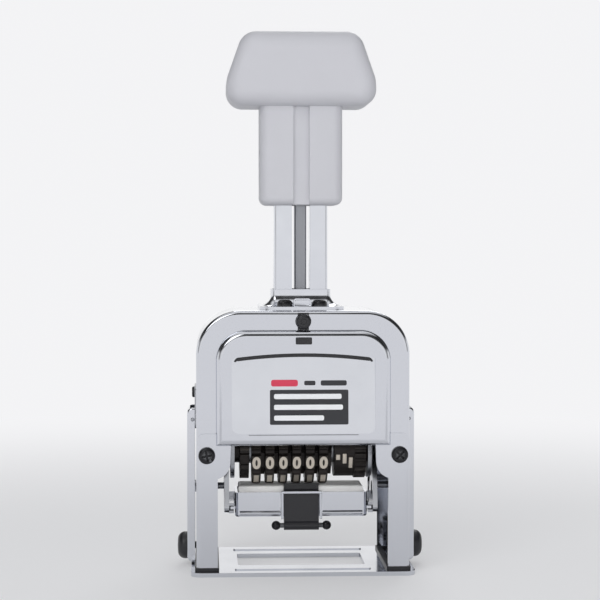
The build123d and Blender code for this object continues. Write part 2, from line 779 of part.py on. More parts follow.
# ---------------------------------------------------------------- wheel axle
axle_end = bail_outer + 1.6
with BuildPart() as wheel_axle:
    with BuildSketch(axle_plane(0)):
        Circle(axle_radius)
    extrude(amount=cheek_inner, both=True)
    with BuildSketch(axle_plane(0)):
        Circle(axle_end_radius)
    extrude(amount=axle_end, both=True)
    chamfer(wheel_axle.faces().filter_by(Axis.X).group_by(Axis.X)[0].edges(), length=0.3)
    chamfer(wheel_axle.faces().filter_by(Axis.X).group_by(Axis.X)[-1].edges(), length=0.3)
wheel_axle.part.label = "wheel_axle"
export_step(wheel_axle.part, "parts/wheel_axle.step")

with BuildPart() as axle_nuts:
    for sign in sides.values():
        with BuildSketch(axle_plane(sign * (bail_outer + 0.2))):
            RegularPolygon(3.1, 6)
            Circle(axle_end_radius, mode=Mode.SUBTRACT)
        extrude(amount=sign * 1.1)
axle_nuts.part.label = "axle_nuts"
export_step(axle_nuts.part, "parts/axle_nuts.step")

last_ratchet = wheel_x[-1] + type_width / 2 + ratchet_width
feed_left = wheel_x[0] - type_width / 2 - 0.7
feed_right = last_ratchet + 0.1
arm_thickness = 0.6
dial_start = feed_right + arm_thickness + 0.1
dial_end = cheek_inner - 0.5
with BuildPart() as axle_collars:
    # a wide dark collar closes the left end of the wheel pack, a washer the right end
    with BuildSketch(axle_plane(feed_left - 0.1)):
        Circle(end_collar_radius)
        with PolarLocations(end_collar_radius + 0.5, 12):
            Circle(1.0, mode=Mode.SUBTRACT)
        Circle(axle_radius, mode=Mode.SUBTRACT)
    extrude(amount=-2.7)
    with BuildSketch(axle_plane(-cheek_inner)):
        Circle(spacer_radius)
        Circle(axle_radius, mode=Mode.SUBTRACT)
    extrude(amount=cheek_inner + feed_left - 2.8)
    with BuildSketch(axle_plane(cheek_inner)):
        Circle(spacer_radius)
        Circle(axle_radius, mode=Mode.SUBTRACT)
    extrude(amount=-0.4)
axle_collars.part.label = "axle_collars"
export_step(axle_collars.part, "parts/axle_collars.step")

# ---------------------------------------------------------------- number wheels
flat_turn = 180 / digits - 90  # turns the wheel so that one flat faces straight down
for number, middle in enumerate(wheel_x, start=1):
    with BuildPart() as number_wheel:
        # ten flats, parted at their corners; one flat faces straight down
        with BuildSketch(axle_plane(middle - type_width / 2)):
            RegularPolygon(type_flat, digits, major_radius=False, rotation=flat_turn)
            corner = type_flat / math.cos(math.pi / digits)
            with PolarLocations(corner, digits, start_angle=flat_turn):
                Circle(type_notch, mode=Mode.SUBTRACT)
        extrude(amount=type_width)
        with BuildSketch(axle_plane(middle + type_width / 2)):
            tooth = 360 / digits
            inner = ratchet_radius - ratchet_depth
            rim = []
            for step in range(digits):
                tip = math.radians(step * tooth)
                root = math.radians((step + 0.12) * tooth)
                rim.append((ratchet_radius * math.cos(tip), ratchet_radius * math.sin(tip)))
                rim.append((inner * math.cos(root), inner * math.sin(root)))
            Polygon(*rim, align=None)
        extrude(amount=ratchet_width)
        with BuildSketch(axle_plane(0)):
            Circle(axle_radius + running)
        extrude(amount=cheek_inner, both=True, mode=Mode.SUBTRACT)
    number_wheel.part.label = f"number_wheel_{number}"
    export_step(number_wheel.part, f"parts/number_wheel_{number}.step")

# ---------------------------------------------------------------- repeat dial
band_end = dial_end - dial_rim
with BuildPart() as repeat_dial:
    with BuildSketch(axle_plane(dial_start)):
        Circle(dial_radius - dial_drum_inset)
    extrude(amount=band_end - dial_start)
    with BuildSketch(axle_plane(band_end)):
        Circle(dial_radius)
        with PolarLocations(dial_radius + 0.4, 20):
            Circle(0.8, mode=Mode.SUBTRACT)
    extrude(amount=dial_end - band_end)
    with BuildSketch(axle_plane(dial_start)):
        Circle(axle_radius + running)
    extrude(amount=dial_end - dial_start, mode=Mode.SUBTRACT)
repeat_dial.part.label = "repeat_dial"
export_step(repeat_dial.part, "parts/repeat_dial.step")

# ---------------------------------------------------------------- feed frame and its pawls
rod_y = 6.5
rod_z = 9.5
rod_radius = 1.0
rod_reach = math.hypot(rod_y, rod_z)
rod_angle = math.degrees(math.atan2(rod_z, rod_y))
with BuildPart() as feed_frame:
    for start in (feed_left, feed_right):
        with BuildSketch(axle_plane(start)):
            Circle(feed_hub_radius)
            with Locations((rod_y, rod_z)):
                Circle(2.0)
            with Locations((rod_y / 2, rod_z / 2)):
                Rectangle(rod_reach, feed_arm_width, rotation=rod_angle)
            Circle(axle_radius + running, mode=Mode.SUBTRACT)
        extrude(amount=arm_thickness)
    with BuildSketch(axle_plane(feed_left)):
        with Locations((rod_y, rod_z)):
            Circle(rod_radius)
    extrude(amount=feed_right + arm_thickness - feed_left)
feed_frame.part.label = "feed_frame"
export_step(feed_frame.part, "parts/feed_frame.step")

pawl_width = ratchet_width - 0.4
pawl_low = ratchet_radius + 0.4
with BuildPart() as feed_pawls:
    for middle in wheel_x:
        with BuildSketch(axle_plane(middle + ratchet_middle - pawl_width / 2)):
            with BuildLine():
                under = CenterArc((0, 0), pawl_low, 22, 36)
                over = CenterArc((0, 0), pawl_low + 2.1, 30, 34)
                Line(under @ 0, over @ 0)
                Line(under @ 1, over @ 1)
            make_face()
            with Locations((rod_y, rod_z)):
                Circle(rod_radius + 0.8)
                Circle(rod_radius, mode=Mode.SUBTRACT)
        extrude(amount=pawl_width)
feed_pawls.part.label = "feed_pawls"
export_step(feed_pawls.part, "parts/feed_pawls.step")

# ---------------------------------------------------------------- detent rod and its fingers
with BuildPart() as detent_rod:
    with BuildSketch(axle_plane(0)):
        with Locations((hold_y, hold_z)):
            Circle(hold_radius)
    extrude(amount=cheek_outer, both=True)
detent_rod.part.label = "detent_rod"
export_step(detent_rod.part, "parts/detent_rod.step")

with BuildPart() as detent_fingers:
    for middle in wheel_x:
        with BuildSketch(axle_plane(middle + ratchet_middle - pawl_width / 2)):
            with BuildLine():
                under = CenterArc((0, 0), pawl_low, 126, 34)
                over = CenterArc((0, 0), pawl_low + 0.7, 126, 34)
                Line(under @ 0, over @ 0)
                Line(under @ 1, over @ 1)
            make_face()
            Polygon((-4.9, 6.6), (-5.9, 6.1), (-8.4, 9.6), (-6.4, 11.0), align=None)
            with Locations((hold_y, hold_z)):
                Circle(hold_radius + 0.7)
                Circle(hold_radius, mode=Mode.SUBTRACT)
        extrude(amount=pawl_width)
detent_fingers.part.label = "detent_fingers"
export_step(detent_fingers.part, "parts/detent_fingers.step")

# ---------------------------------------------------------------- pad bail
slot_angle = -bail_turn / 2
slot_near = stud_y
slot_far = math.hypot(stud_y, stroke / 2)
flange_z = tray_bottom + 2.2
rail_gap = 0.3
rail_low = flange_z - rail_gap - tray_sheet
rail_high = flange_z + tray_sheet + rail_gap
rail_back = tray_rear + 1.3
with BuildPart() as pad_bail:
    for sign in sides.values():
        corner_z = rail_low + 1.5 - axle_z
        with BuildSketch(axle_plane(sign * bail_inner)):
            Circle(3.6)
            with Locations((stud_y, stud_z - axle_z)):
                Circle(slot_width / 2 + 1.4)
            with Locations((-5.0, corner_z), (rail_back - 1.5, corner_z)):
                Circle(1.5)
            make_hull()
            Circle(axle_end_radius + running, mode=Mode.SUBTRACT)
            with PolarLocations((slot_near + slot_far) / 2, 1, start_angle=slot_angle):
                SlotCenterToCenter(slot_far - slot_near, slot_width, mode=Mode.SUBTRACT)
            with Locations((-1.9, -11.4)):
                Circle(2.1, mode=Mode.SUBTRACT)
        extrude(amount=sign * bail_thickness)
        # guide rails for the tray's side flanges
        with BuildSketch(Plane.YZ.offset(sign * bail_inner)):
            for low in (rail_low, rail_high):
                with Locations(((rail_back - 6.4) / 2, low + tray_sheet / 2)):
                    Rectangle(rail_back + 6.4, tray_sheet)
        extrude(amount=-sign * (bail_inner - tray_width / 2 - 0.3))
    with BuildSketch(Plane.XY.offset(rail_low)):
        with Locations((0, rail_back - 0.5)):
            Rectangle(2 * bail_inner, 1.0)
    extrude(amount=4.4)
pad_bail.part.label = "pad_bail"
export_step(pad_bail.part, "parts/pad_bail.step")

# ---------------------------------------------------------------- pad tray, pad and grip
tray_length = tray_front + tray_rear
tray_middle = (tray_rear - tray_front) / 2
with BuildPart() as pad_tray:
    with BuildSketch(Plane.XY.offset(tray_bottom)):
        with Locations((0, tray_middle)):
            RectangleRounded(tray_width, tray_length, 1.2)
    extrude(amount=tray_height)
    fillet(pad_tray.faces().sort_by(Axis.Z)[0].edges(), radius=0.7)
    with BuildSketch(Plane.XY.offset(tray_bottom + tray_sheet)):
        with Locations((0, tray_middle)):
            Rectangle(tray_width - 2 * tray_sheet, tray_length - 2 * tray_sheet)
    extrude(amount=tray_height, mode=Mode.SUBTRACT)
    # side flanges that slide in the bail's rails
    with BuildSketch(Plane.XY.offset(flange_z)):
        for sign in sides.values():
            with Locations((sign * (tray_width / 2 + 0.6), tray_middle)):
                Rectangle(1.4, tray_length - 1.6)
    extrude(amount=tray_sheet)
    # rolled lip along the lower front, and the pair of ribs beside the grip
    with BuildSketch(Plane.YZ):
        with Locations((-tray_front, tray_bottom + 1.2)):
            Circle(0.6)
    extrude(amount=tray_width / 2 - 1.4, both=True)
    with BuildSketch(Plane.XZ.offset(tray_front)):
        with Locations((0, tray_bottom + tray_height / 2 + 0.2)):
            with GridLocations(grip_block_width + 1.4, 0, 2, 1):
                Rectangle(0.9, tray_height - 0.4)
    extrude(amount=0.5)
    with BuildSketch(Plane.XY.offset(tray_bottom + tray_sheet)):
        with Locations((0, tray_middle)):
            Rectangle(tray_width - 2 * tray_sheet, tray_length - 2 * tray_sheet)
    extrude(amount=tray_height, mode=Mode.SUBTRACT)
    with BuildSketch(Plane.XZ.offset(tray_front)):
        with Locations((0, tray_bottom + tray_height / 2)):
            Rectangle(grip_block_width + 0.2, tray_height)
    extrude(amount=1.0, mode=Mode.SUBTRACT)
pad_tray.part.label = "pad_tray"
export_step(pad_tray.part, "parts/pad_tray.step")

pad_top = axle_z - type_flat - type_raise - pad_clearance
pad_front = tray_sheet + grip_tab_thickness + 0.15 - tray_front
pad_rear = tray_rear - tray_sheet - 0.2
pad_width = tray_width - 2 * tray_sheet - 0.4
with BuildPart() as ink_pad:
    with BuildSketch(Plane.XY.offset(tray_bottom + tray_sheet)):
        with Locations((0, (pad_front + pad_rear) / 2)):
            RectangleRounded(pad_width, pad_rear - pad_front, 1.0)
    extrude(amount=pad_top - tray_bottom - tray_sheet)
    fillet(ink_pad.faces().sort_by(Axis.Z)[-1].edges(), radius=0.6)
ink_pad.part.label = "ink_pad"
export_step(ink_pad.part, "parts/ink_pad.step")

grip_front = tray_front + 1.2
tab_front = tray_sheet + 0.05 - tray_front
tray_top = tray_bottom + tray_height
with BuildPart() as pad_grip:
    with BuildSketch(Plane.YZ):
        with BuildLine():
            Polyline(
                (-tray_front, grip_pin_z),
                (-tray_front, tray_top + 0.05),
                (tab_front, tray_top + 0.05),
                (tab_front, tray_top - 2.0),
                (tab_front + grip_tab_thickness, tray_top - 2.0),
                (tab_front + grip_tab_thickness, tray_top + grip_tab_rise),
                (tab_front, tray_top + grip_tab_rise),
                (tab_front - 0.3, tray_top + 0.7),
                (-grip_front, tray_top + 0.7),
                (-grip_front, grip_pin_z),
                close=True,
            )
        make_face()
        with Locations((-tray_front - 0.6, grip_pin_z)):
            Circle(grip_ball_radius)
            Circle(0.75, mode=Mode.SUBTRACT)
    extrude(amount=grip_block_width / 2, both=True)
pad_grip.part.label = "pad_grip"
export_step(pad_grip.part, "parts/pad_grip.step")

with BuildPart() as grip_pin:
    pin_plane = Plane(origin=(0, -tray_front - 0.6, grip_pin_z))
    with BuildSketch(pin_plane):
        Rectangle(grip_pin_span, 1.5)
        with GridLocations(grip_pin_span, 0, 2, 1):
            Circle(grip_ball_radius)
        with Locations((0, -grip_ball_radius)):
            Rectangle(2 * grip_pin_span, 2 * grip_ball_radius, mode=Mode.SUBTRACT)
    revolve(axis=Axis(pin_plane.origin, (1, 0, 0)))
grip_pin.part.label = "grip_pin"
export_step(grip_pin.part, "parts/grip_pin.step")
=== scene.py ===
import json
import math

import bmesh
import bpy
from bpy.props import (
    FloatProperty, FloatVectorProperty, IntProperty, PointerProperty, StringProperty
)
from mathutils import Matrix, Vector

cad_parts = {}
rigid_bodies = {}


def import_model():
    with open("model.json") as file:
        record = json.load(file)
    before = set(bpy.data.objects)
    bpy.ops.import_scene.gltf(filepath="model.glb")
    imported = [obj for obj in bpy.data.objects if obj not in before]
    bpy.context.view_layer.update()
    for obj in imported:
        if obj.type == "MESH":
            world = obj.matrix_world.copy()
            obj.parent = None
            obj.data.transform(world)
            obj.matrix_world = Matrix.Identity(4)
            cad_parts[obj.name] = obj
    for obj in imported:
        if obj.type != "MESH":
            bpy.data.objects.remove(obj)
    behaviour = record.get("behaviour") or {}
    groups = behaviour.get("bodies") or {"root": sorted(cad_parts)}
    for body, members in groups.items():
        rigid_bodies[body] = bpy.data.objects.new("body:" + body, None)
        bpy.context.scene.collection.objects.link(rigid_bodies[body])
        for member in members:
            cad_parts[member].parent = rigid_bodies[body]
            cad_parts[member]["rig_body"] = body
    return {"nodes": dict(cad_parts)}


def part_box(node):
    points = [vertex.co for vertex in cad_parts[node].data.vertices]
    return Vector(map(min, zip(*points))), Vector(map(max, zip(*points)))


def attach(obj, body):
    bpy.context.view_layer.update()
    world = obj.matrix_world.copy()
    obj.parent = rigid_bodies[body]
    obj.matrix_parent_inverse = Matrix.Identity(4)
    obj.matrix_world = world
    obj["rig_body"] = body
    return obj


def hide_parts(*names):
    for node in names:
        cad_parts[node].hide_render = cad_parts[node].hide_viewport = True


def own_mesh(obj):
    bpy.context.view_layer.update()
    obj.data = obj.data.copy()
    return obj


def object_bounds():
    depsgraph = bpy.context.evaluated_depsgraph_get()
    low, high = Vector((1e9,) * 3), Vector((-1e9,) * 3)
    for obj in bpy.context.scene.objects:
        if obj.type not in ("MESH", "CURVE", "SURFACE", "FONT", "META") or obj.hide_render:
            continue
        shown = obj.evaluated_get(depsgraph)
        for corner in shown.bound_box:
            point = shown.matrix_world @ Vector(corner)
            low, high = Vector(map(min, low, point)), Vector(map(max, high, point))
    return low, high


bl_info = {
    "name": "Numbering machine",
    "version": (1, 0, 0),
    "blender": (4, 5, 0),
    "location": "View3D > Sidebar > Numbering machine",
    "description": "Dresses the packed frame of a hand numbering machine",
    "category": "Object",
}

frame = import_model()
cad_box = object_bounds()

MM = 0.001
WHEELS = 6
DIGITS = 10
SIDES = {"left": -1, "right": 1}
QUARTER = math.pi / 2


# ------------------------------------------------------------------ settings
def color_setting(name, description, default):
    """A colour that the panel shows as a swatch."""
    return FloatVectorProperty(
        name=name, description=description, subtype="COLOR", size=3, min=0, max=1, default=default
    )


def length_setting(name, description, default):
    """A length in millimetres."""
    return FloatProperty(name=name, description=description, default=default, min=0, precision=3)


def angle_setting(name, description, degrees):
    """An angle that the panel shows in degrees."""
    return FloatProperty(
        name=name, description=description, subtype="ANGLE", default=math.radians(degrees)
    )


class FinishSettings(bpy.types.PropertyGroup):
    """Colours of the machine's finishes."""

    chrome: color_setting("Chrome", "Plated frame, covers and foot", (0.66, 0.675, 0.72))
    steel: color_setting("Steel", "Zinc-plated inner pieces", (0.50, 0.51, 0.54))
    post: color_setting("Post", "Grey strip between the plunger's bars", (0.40, 0.41, 0.44))
    handle: color_setting("Handle", "Moulded grey plastic", (0.565, 0.565, 0.60))
    black: color_setting("Black", "Moulded black plastic", (0.016, 0.016, 0.019))
    screw: color_setting("Screws", "Blackened steel", (0.020, 0.020, 0.023))
    wheel: color_setting("Wheels", "Blackened wheels", (0.022, 0.018, 0.017))
    figure: color_setting("Figures", "Ground faces of the raised figures", (0.74, 0.67, 0.58))
    felt: color_setting("Felt", "New felt of the ink pad", (0.95, 0.94, 0.93))
    enamel: color_setting("Enamel", "Ground of the name plate", (0.018, 0.019, 0.024))
    rule: color_setting("Rules", "Light rules on the name plate", (0.80, 0.81, 0.83))
    red: color_setting("Red dash", "Short dash above the name plate", (0.62, 0.03, 0.08))


class FigureSettings(bpy.types.PropertyGroup):
    """Raised figures on the number wheels."""

    height: length_setting("Height", "Height of a figure in millimetres", 3.9)
    width: length_setting("Width", "Width of a figure in millimetres", 2.45)
    weight: FloatProperty(
        name="Weight", description="Thickening of the figure's strokes", default=0.05, min=0
    )
    front: StringProperty(
        name="Front row", description="Figures that face the front at rest", default="000000"
    )


class FittingSettings(bpy.types.PropertyGroup):
    """Small fittings."""

    edge: length_setting("Edge", "Broken edge of pressed metal in millimetres", 0.18)
    segments: IntProperty(name="Segments", description="Sides of a round head", default=40, min=12)
    recess: length_setting("Recess", "Half width of a screw's recess in millimetres", 0.32)


class StageSettings(bpy.types.PropertyGroup):
    """Floor, light and camera."""

    azimuth: angle_setting("Azimuth", "Camera's turn from the front", -3)
    elevation: angle_setting("Elevation", "Camera's height", 2)
    distance: FloatProperty(
        name="Distance", description="From the camera to the machine's middle", unit="LENGTH",
        default=0.53,
    )
    lens: FloatProperty(name="Lens", description="Focal length in millimetres", default=108)
    floor: color_setting("Floor", "Pale floor", (0.88, 0.88, 0.89))
    air: color_setting("Air", "Pale background", (0.90, 0.90, 0.915))


class MachineSettings(bpy.types.PropertyGroup):
    """All settings of the numbering machine."""

    finish: PointerProperty(type=FinishSettings)
    figures: PointerProperty(type=FigureSettings)
    fittings: PointerProperty(type=FittingSettings)
    stage: PointerProperty(type=StageSettings)


def settings():
    """The settings of the current scene."""
    return bpy.context.scene.numbering_machine


# ------------------------------------------------------------------ shader nodes
def feed(node, values):
    """Gives a node's inputs their values, or links them to sockets."""
    for label, value in values.items():
        if isinstance(value, bpy.types.NodeSocket):
            node.id_data.links.new(value, node.inputs[label])
        else:
            node.inputs[label].default_value = value


def add_node(tree, kind, values=None, **options):
    """A shader node with its options set and its inputs fed."""
    node = tree.nodes.new(f"ShaderNode{kind}")
    for name, value in options.items():
        setattr(node, name, value)
    feed(node, values or {})
    return node


def maths(tree, operation, *values):
    """The result of a sum on values or sockets."""
    return add_node(tree, "Math", dict(enumerate(values)), operation=operation).outputs["Value"]


def map_range(tree, values, **options):
    """A value moved from one range to another."""
    return add_node(tree, "MapRange", values, **options).outputs["Result"]


def spread_noise(tree, value, low, high):
    """The middle of a noise's range, spread over two values or sockets."""
    return map_range(
        tree, {"Value": value, "From Min": 0.35, "From Max": 0.65, "To Min": low, "To Max": high}
    )


def noise(tree, scale, detail, roughness=0.55, vector=None):
    """A noise on a vector, or else on object coordinates, whose scale comes from a socket."""
    vector = vector or add_node(tree, "TexCoord").outputs["Object"]
    values = {"Vector": vector, "Scale": scale, "Detail": detail, "Roughness": roughness}
    return add_node(tree, "TexNoise", values).outputs["Fac"]


def bumped(tree, height, strength, distance):
    """The normal of a bump of a distance in metres."""
    values = {"Height": height, "Strength": strength, "Distance": distance}
    return add_node(tree, "Bump", values).outputs["Normal"]


def mix_colors(tree, mask, first, second):
    """Two colours mixed by a mask."""
    values = {0: mask, 6: (*first, 1), 7: (*second, 1)}
    return add_node(tree, "Mix", values, data_type="RGBA").outputs[2]


def mix_shaders(tree, mask, first, second):
    """Two shaders mixed by a mask."""
    return add_node(tree, "MixShader", {0: mask, 1: first, 2: second}).outputs["Shader"]


# ------------------------------------------------------------------ shader groups
FLOAT = "NodeSocketFloat"
VECTOR = "NodeSocketVector"


def start_group(name, inputs, outputs):
    """A shader node group with float inputs: its tree, its input sockets and its output node."""
    tree = bpy.data.node_groups.new(name, "ShaderNodeTree")
    for label, default in inputs.items():
        socket = tree.interface.new_socket(label, in_out="INPUT", socket_type=FLOAT)
        socket.default_value = default
    for label, kind in outputs.items():
        tree.interface.new_socket(label, in_out="OUTPUT", socket_type=kind)
    return tree, tree.nodes.new("NodeGroupInput").outputs, tree.nodes.new("NodeGroupOutput")


def plating_group():
    """Handling marks on bright plate: roughness patches and the slow waves of pressed sheet."""
    tree, inputs, outputs = start_group(
        "plating",
        {"Patch": 60.0, "Clean": 0.06, "Handled": 0.14, "Wave": 45.0, "Depth": 0.1},
        {"Roughness": FLOAT, "Normal": VECTOR},
    )
    patch = noise(tree, inputs["Patch"], detail=5.0, roughness=0.65)
    wave = noise(tree, inputs["Wave"], detail=0.0)
    feed(outputs, {
        "Roughness": spread_noise(tree, patch, inputs["Clean"], inputs["Handled"]),
        "Normal": bumped(tree, wave, inputs["Depth"], distance=0.0006),
    })
    return tree


def drawn_group():
    """Fine lines left by rolling or drawing."""
    tree, inputs, outputs = start_group(
        "drawn_lines",
        {"Scale": 900.0, "Across X": 1.0, "Across Y": 1.0, "Across Z": 0.03, "Depth": 0.3},
        {"Tone": FLOAT, "Normal": VECTOR},
    )
    place = add_node(tree, "TexCoord").outputs["Object"]
    across = {axis: inputs[f"Across {axis}"] for axis in "XYZ"}
    stretch = add_node(tree, "CombineXYZ", across).outputs["Vector"]
    scaled = add_node(tree, "VectorMath", {0: place, 1: stretch}, operation="MULTIPLY")
    lines = noise(
        tree, inputs["Scale"], detail=4.0, roughness=0.7, vector=scaled.outputs["Vector"]
    )
    normal = bumped(tree, lines, inputs["Depth"], distance=0.00008)
    feed(outputs, {"Tone": lines, "Normal": normal})
    return tree


def moulded_group():
    """The fine pebble of a spark-eroded mould, with a parting line on the middle plane."""
    tree, inputs, outputs = start_group(
        "moulded_grain",
        {"Grain": 2600.0, "Depth": 0.35, "Cloud": 40.0, "Seam": 0.0},
        {"Tone": FLOAT, "Normal": VECTOR},
    )
    grain = noise(tree, inputs["Grain"], detail=2.0)
    place = add_node(tree, "TexCoord").outputs["Object"]
    axes = add_node(tree, "SeparateXYZ", {"Vector": place}).outputs
    off_seam = maths(tree, "ABSOLUTE", axes["Y"])
    seam = map_range(
        tree, {"Value": off_seam, "From Min": 0.0002, "From Max": 0.0, "To Max": inputs["Seam"]},
        interpolation_type="SMOOTHSTEP",
    )
    height = maths(tree, "ADD", grain, seam)
    feed(outputs, {
        "Tone": noise(tree, inputs["Cloud"], detail=4.0),
        "Normal": bumped(tree, height, inputs["Depth"], distance=0.00006),
    })
    return tree


def rub_group():
    """Edges rubbed bare by use: a mask from the surface's sharpness, broken up by noise."""
    tree, inputs, outputs = start_group(
        "rubbed_edges", {"Edge": 0.53, "Spread": 0.07, "Breakup": 700.0}, {"Mask": FLOAT}
    )
    edge = map_range(tree, {
        "Value": add_node(tree, "NewGeometry").outputs["Pointiness"],
        "From Min": inputs["Edge"],
        "From Max": maths(tree, "ADD", inputs["Edge"], inputs["Spread"]),
    })
    broken = noise(tree, inputs["Breakup"], detail=4.0)
    feed(outputs, {"Mask": maths(tree, "MULTIPLY", edge, broken)})
    return tree


def felt_group():
    """Matted fibres of felt."""
    tree, inputs, outputs = start_group(
        "felt_fibres", {"Fibre": 1500.0, "Depth": 0.8}, {"Tone": FLOAT, "Normal": VECTOR}
    )
    fibre = noise(tree, inputs["Fibre"], detail=8.0, roughness=0.75)
    normal = bumped(tree, fibre, inputs["Depth"], distance=0.00025)
    feed(outputs, {"Tone": fibre, "Normal": normal})
    return tree


GROUP_MAKERS = {
    "plating": plating_group,
    "drawn_lines": drawn_group,
    "moulded_grain": moulded_group,
    "rubbed_edges": rub_group,
    "felt_fibres": felt_group,
}


def place_group(tree, name, values):
    """Puts a shared group into a material with its own values, and returns its outputs."""
    group = bpy.data.node_groups.get(name) or GROUP_MAKERS[name]()
    return add_node(tree, "Group", values, node_tree=group).outputs


# ------------------------------------------------------------------ finishes
def start_material(name, color, metallic, roughness):
    """A material with a plain Principled shader, with its tree and that shader."""
    material = bpy.data.materials.new(f"{name}_finish")
    material.use_nodes = True
    tree = material.node_tree
    shader = tree.nodes["Principled BSDF"]
    feed(shader, {"Base Color": (*color, 1), "Metallic": metallic, "Roughness": roughness})
    return material, tree, shader


def shade(color, factor):
    """A colour made lighter or darker."""
    return tuple(min(1.0, channel * factor) for channel in color)


def tint(name, factor=1.0):
    """A colour of the panel, made lighter or darker."""
    return shade(getattr(settings().finish, name), factor)


def chrome_finish(name, color, plating):
    """Bright chrome plate with handling marks."""
    material, tree, shader = start_material(name, color, metallic=1.0, roughness=plating["Clean"])
    marks = place_group(tree, "plating", plating)
    feed(shader, {"Roughness": marks["Roughness"], "Normal": marks["Normal"]})
    return material


def grained_finish(name, color, group, values, tones, smooth, rough, metallic):
    """A surface whose tone, gloss and relief follow a shared group."""
    material, tree, shader = start_material(name, color, metallic, rough)
    grain = place_group(tree, group, values)
    dark, light = (shade(color, tone) for tone in tones)
    feed(shader, {
        "Base Color": mix_colors(tree, grain["Tone"], dark, light),
        "Roughness": spread_noise(tree, grain["Tone"], smooth, rough),
        "Normal": grain["Normal"],
    })
    return material


def drawn_finish(name, color, lines, smooth, rough, metallic=1.0):
    """Metal that shows the lines it was rolled, drawn or ground with."""
    tones = (0.86, 1.1)
    return grained_finish(name, color, "drawn_lines", lines, tones, smooth, rough, metallic)


def plastic_finish(name, color, grain, smooth, rough):
    """Moulded plastic with a fine pebble and slightly uneven tone."""
    tones = (0.94, 1.05)
    return grained_finish(
        name, color, "moulded_grain", grain, tones, smooth, rough, metallic=0.0
    )


def blackened_finish(name, color, rub, smooth, rough, bare):
    """Blackened steel whose edges are rubbed bare."""
    material, tree, shader = start_material(name, color, metallic=0.55, roughness=rough)
    rubbed = place_group(tree, "rubbed_edges", rub)
    grain = place_group(tree, "moulded_grain", {"Grain": 1800.0, "Depth": 0.25, "Cloud": 260.0})
    feed(shader, {
        "Base Color": mix_colors(tree, rubbed["Mask"], color, tint(*bare)),
        "Roughness": spread_noise(tree, grain["Tone"], smooth, rough),
        "Normal": grain["Normal"],
    })
    return material


def felt_finish(name, color):
    """New felt: matt, fibrous and slightly uneven."""
    material, tree, shader = start_material(name, color, metallic=0.0, roughness=0.95)
    fibres = place_group(tree, "felt_fibres", {})
    feed(shader, {
        "Base Color": mix_colors(tree, fibres["Tone"], shade(color, 0.88), shade(color, 1.06)),
        "Normal": fibres["Normal"],
        "Sheen Weight": 0.25,
        "Sheen Roughness": 0.5,
    })
    return material


# Each finish: its maker, its colour in the panel with a factor, its group's values, and then
# its roughness where smooth and where rough, and what else the maker takes.
FINISHES = {
    "frame_chrome": (
        chrome_finish, ("chrome",), {"Clean": 0.07, "Handled": 0.15, "Depth": 0.06},
    ),
    "cover_chrome": (
        chrome_finish, ("chrome",),
        {"Patch": 90.0, "Clean": 0.08, "Handled": 0.17, "Depth": 0.05},
    ),
    "plunger_chrome": (
        chrome_finish, ("chrome", 1.05),
        {"Patch": 140.0, "Clean": 0.09, "Handled": 0.2, "Depth": 0.04},
    ),
    # Chrome darkened for the bail arms: painted dark reflections.
    "bail_chrome": (
        chrome_finish, ("chrome", 0.7),
        {"Patch": 140.0, "Clean": 0.1, "Handled": 0.22, "Depth": 0.08},
    ),
    "steel_part": (
        drawn_finish, ("steel",), {"Scale": 700.0, "Across X": 0.05, "Across Z": 1.0}, 0.24, 0.42,
    ),
    "spring_steel": (drawn_finish, ("steel", 0.8), {"Scale": 1500.0}, 0.2, 0.38),
    "post_grey": (drawn_finish, ("post",), {"Scale": 1300.0, "Across Z": 0.02}, 0.36, 0.5),
    "figure_face": (
        drawn_finish, ("figure",), {"Scale": 2400.0, "Across X": 0.08, "Depth": 0.25},
        0.34, 0.5, 0.65,
    ),
    "handle_plastic": (
        plastic_finish, ("handle",), {"Grain": 2200.0, "Depth": 0.3, "Seam": 3.0}, 0.42, 0.54,
    ),
    "black_plastic": (plastic_finish, ("black",), {"Grain": 2600.0, "Depth": 0.3}, 0.3, 0.46),
    "plate_black": (plastic_finish, ("enamel",), {"Grain": 900.0, "Depth": 0.08}, 0.16, 0.26),
    "plate_rule": (plastic_finish, ("rule",), {"Grain": 1500.0, "Depth": 0.1}, 0.3, 0.4),
    "plate_red": (plastic_finish, ("red",), {"Grain": 1500.0, "Depth": 0.1}, 0.3, 0.4),
    "black_screw": (blackened_finish, ("screw",), {"Edge": 0.54}, 0.22, 0.4, ("steel", 0.5)),
    "wheel_dark": (
        blackened_finish, ("wheel",), {"Edge": 0.55, "Spread": 0.1}, 0.3, 0.5, ("figure", 0.32),
    ),
    "pad_felt": (felt_finish, ("felt",)),
}


def make_finish(name):
    """The material of a finish, made the first time that it is asked for."""
    known = bpy.data.materials.get(f"{name}_finish")
    if known:
        return known
    maker, color, *details = FINISHES[name]
    return maker(name, tint(*color), *details)


# ------------------------------------------------------------------ modelling helpers
def cad_copy(node):
    """A copy of a CAD node in millimetres, with its triangles merged into whole faces."""
    weld, flat = 1e-6, math.radians(0.03)
    bm = bmesh.new()
    bm.from_mesh(frame["nodes"][node].data)
    bmesh.ops.remove_doubles(bm, verts=bm.verts, dist=weld)
    bmesh.ops.dissolve_limit(bm, angle_limit=flat, verts=bm.verts, edges=bm.edges)
    bmesh.ops.scale(bm, vec=(1 / MM, 1 / MM, 1 / MM), verts=bm.verts)
    return bm


def join_slivers(bm, small=1, large=100, flat=math.radians(0.5)):
    """Joins faces of a small area to the large one that they lie in, so that it shades evenly."""
    bm.normal_update()
    for sliver in [face for face in bm.faces if face.calc_area() < small]:
        for edge in sliver.edges:
            wide = [face for face in edge.link_faces if face.calc_area() > large]
            if wide and edge.is_manifold and edge.calc_face_angle() < flat:
                bmesh.utils.face_join([wide[0], sliver])
                break


def front_face(bm):
    """The largest face that looks to the front."""
    fronts = (face for face in bm.faces if face.normal.y < -0.9)
    return max(fronts, key=lambda face: face.calc_area())


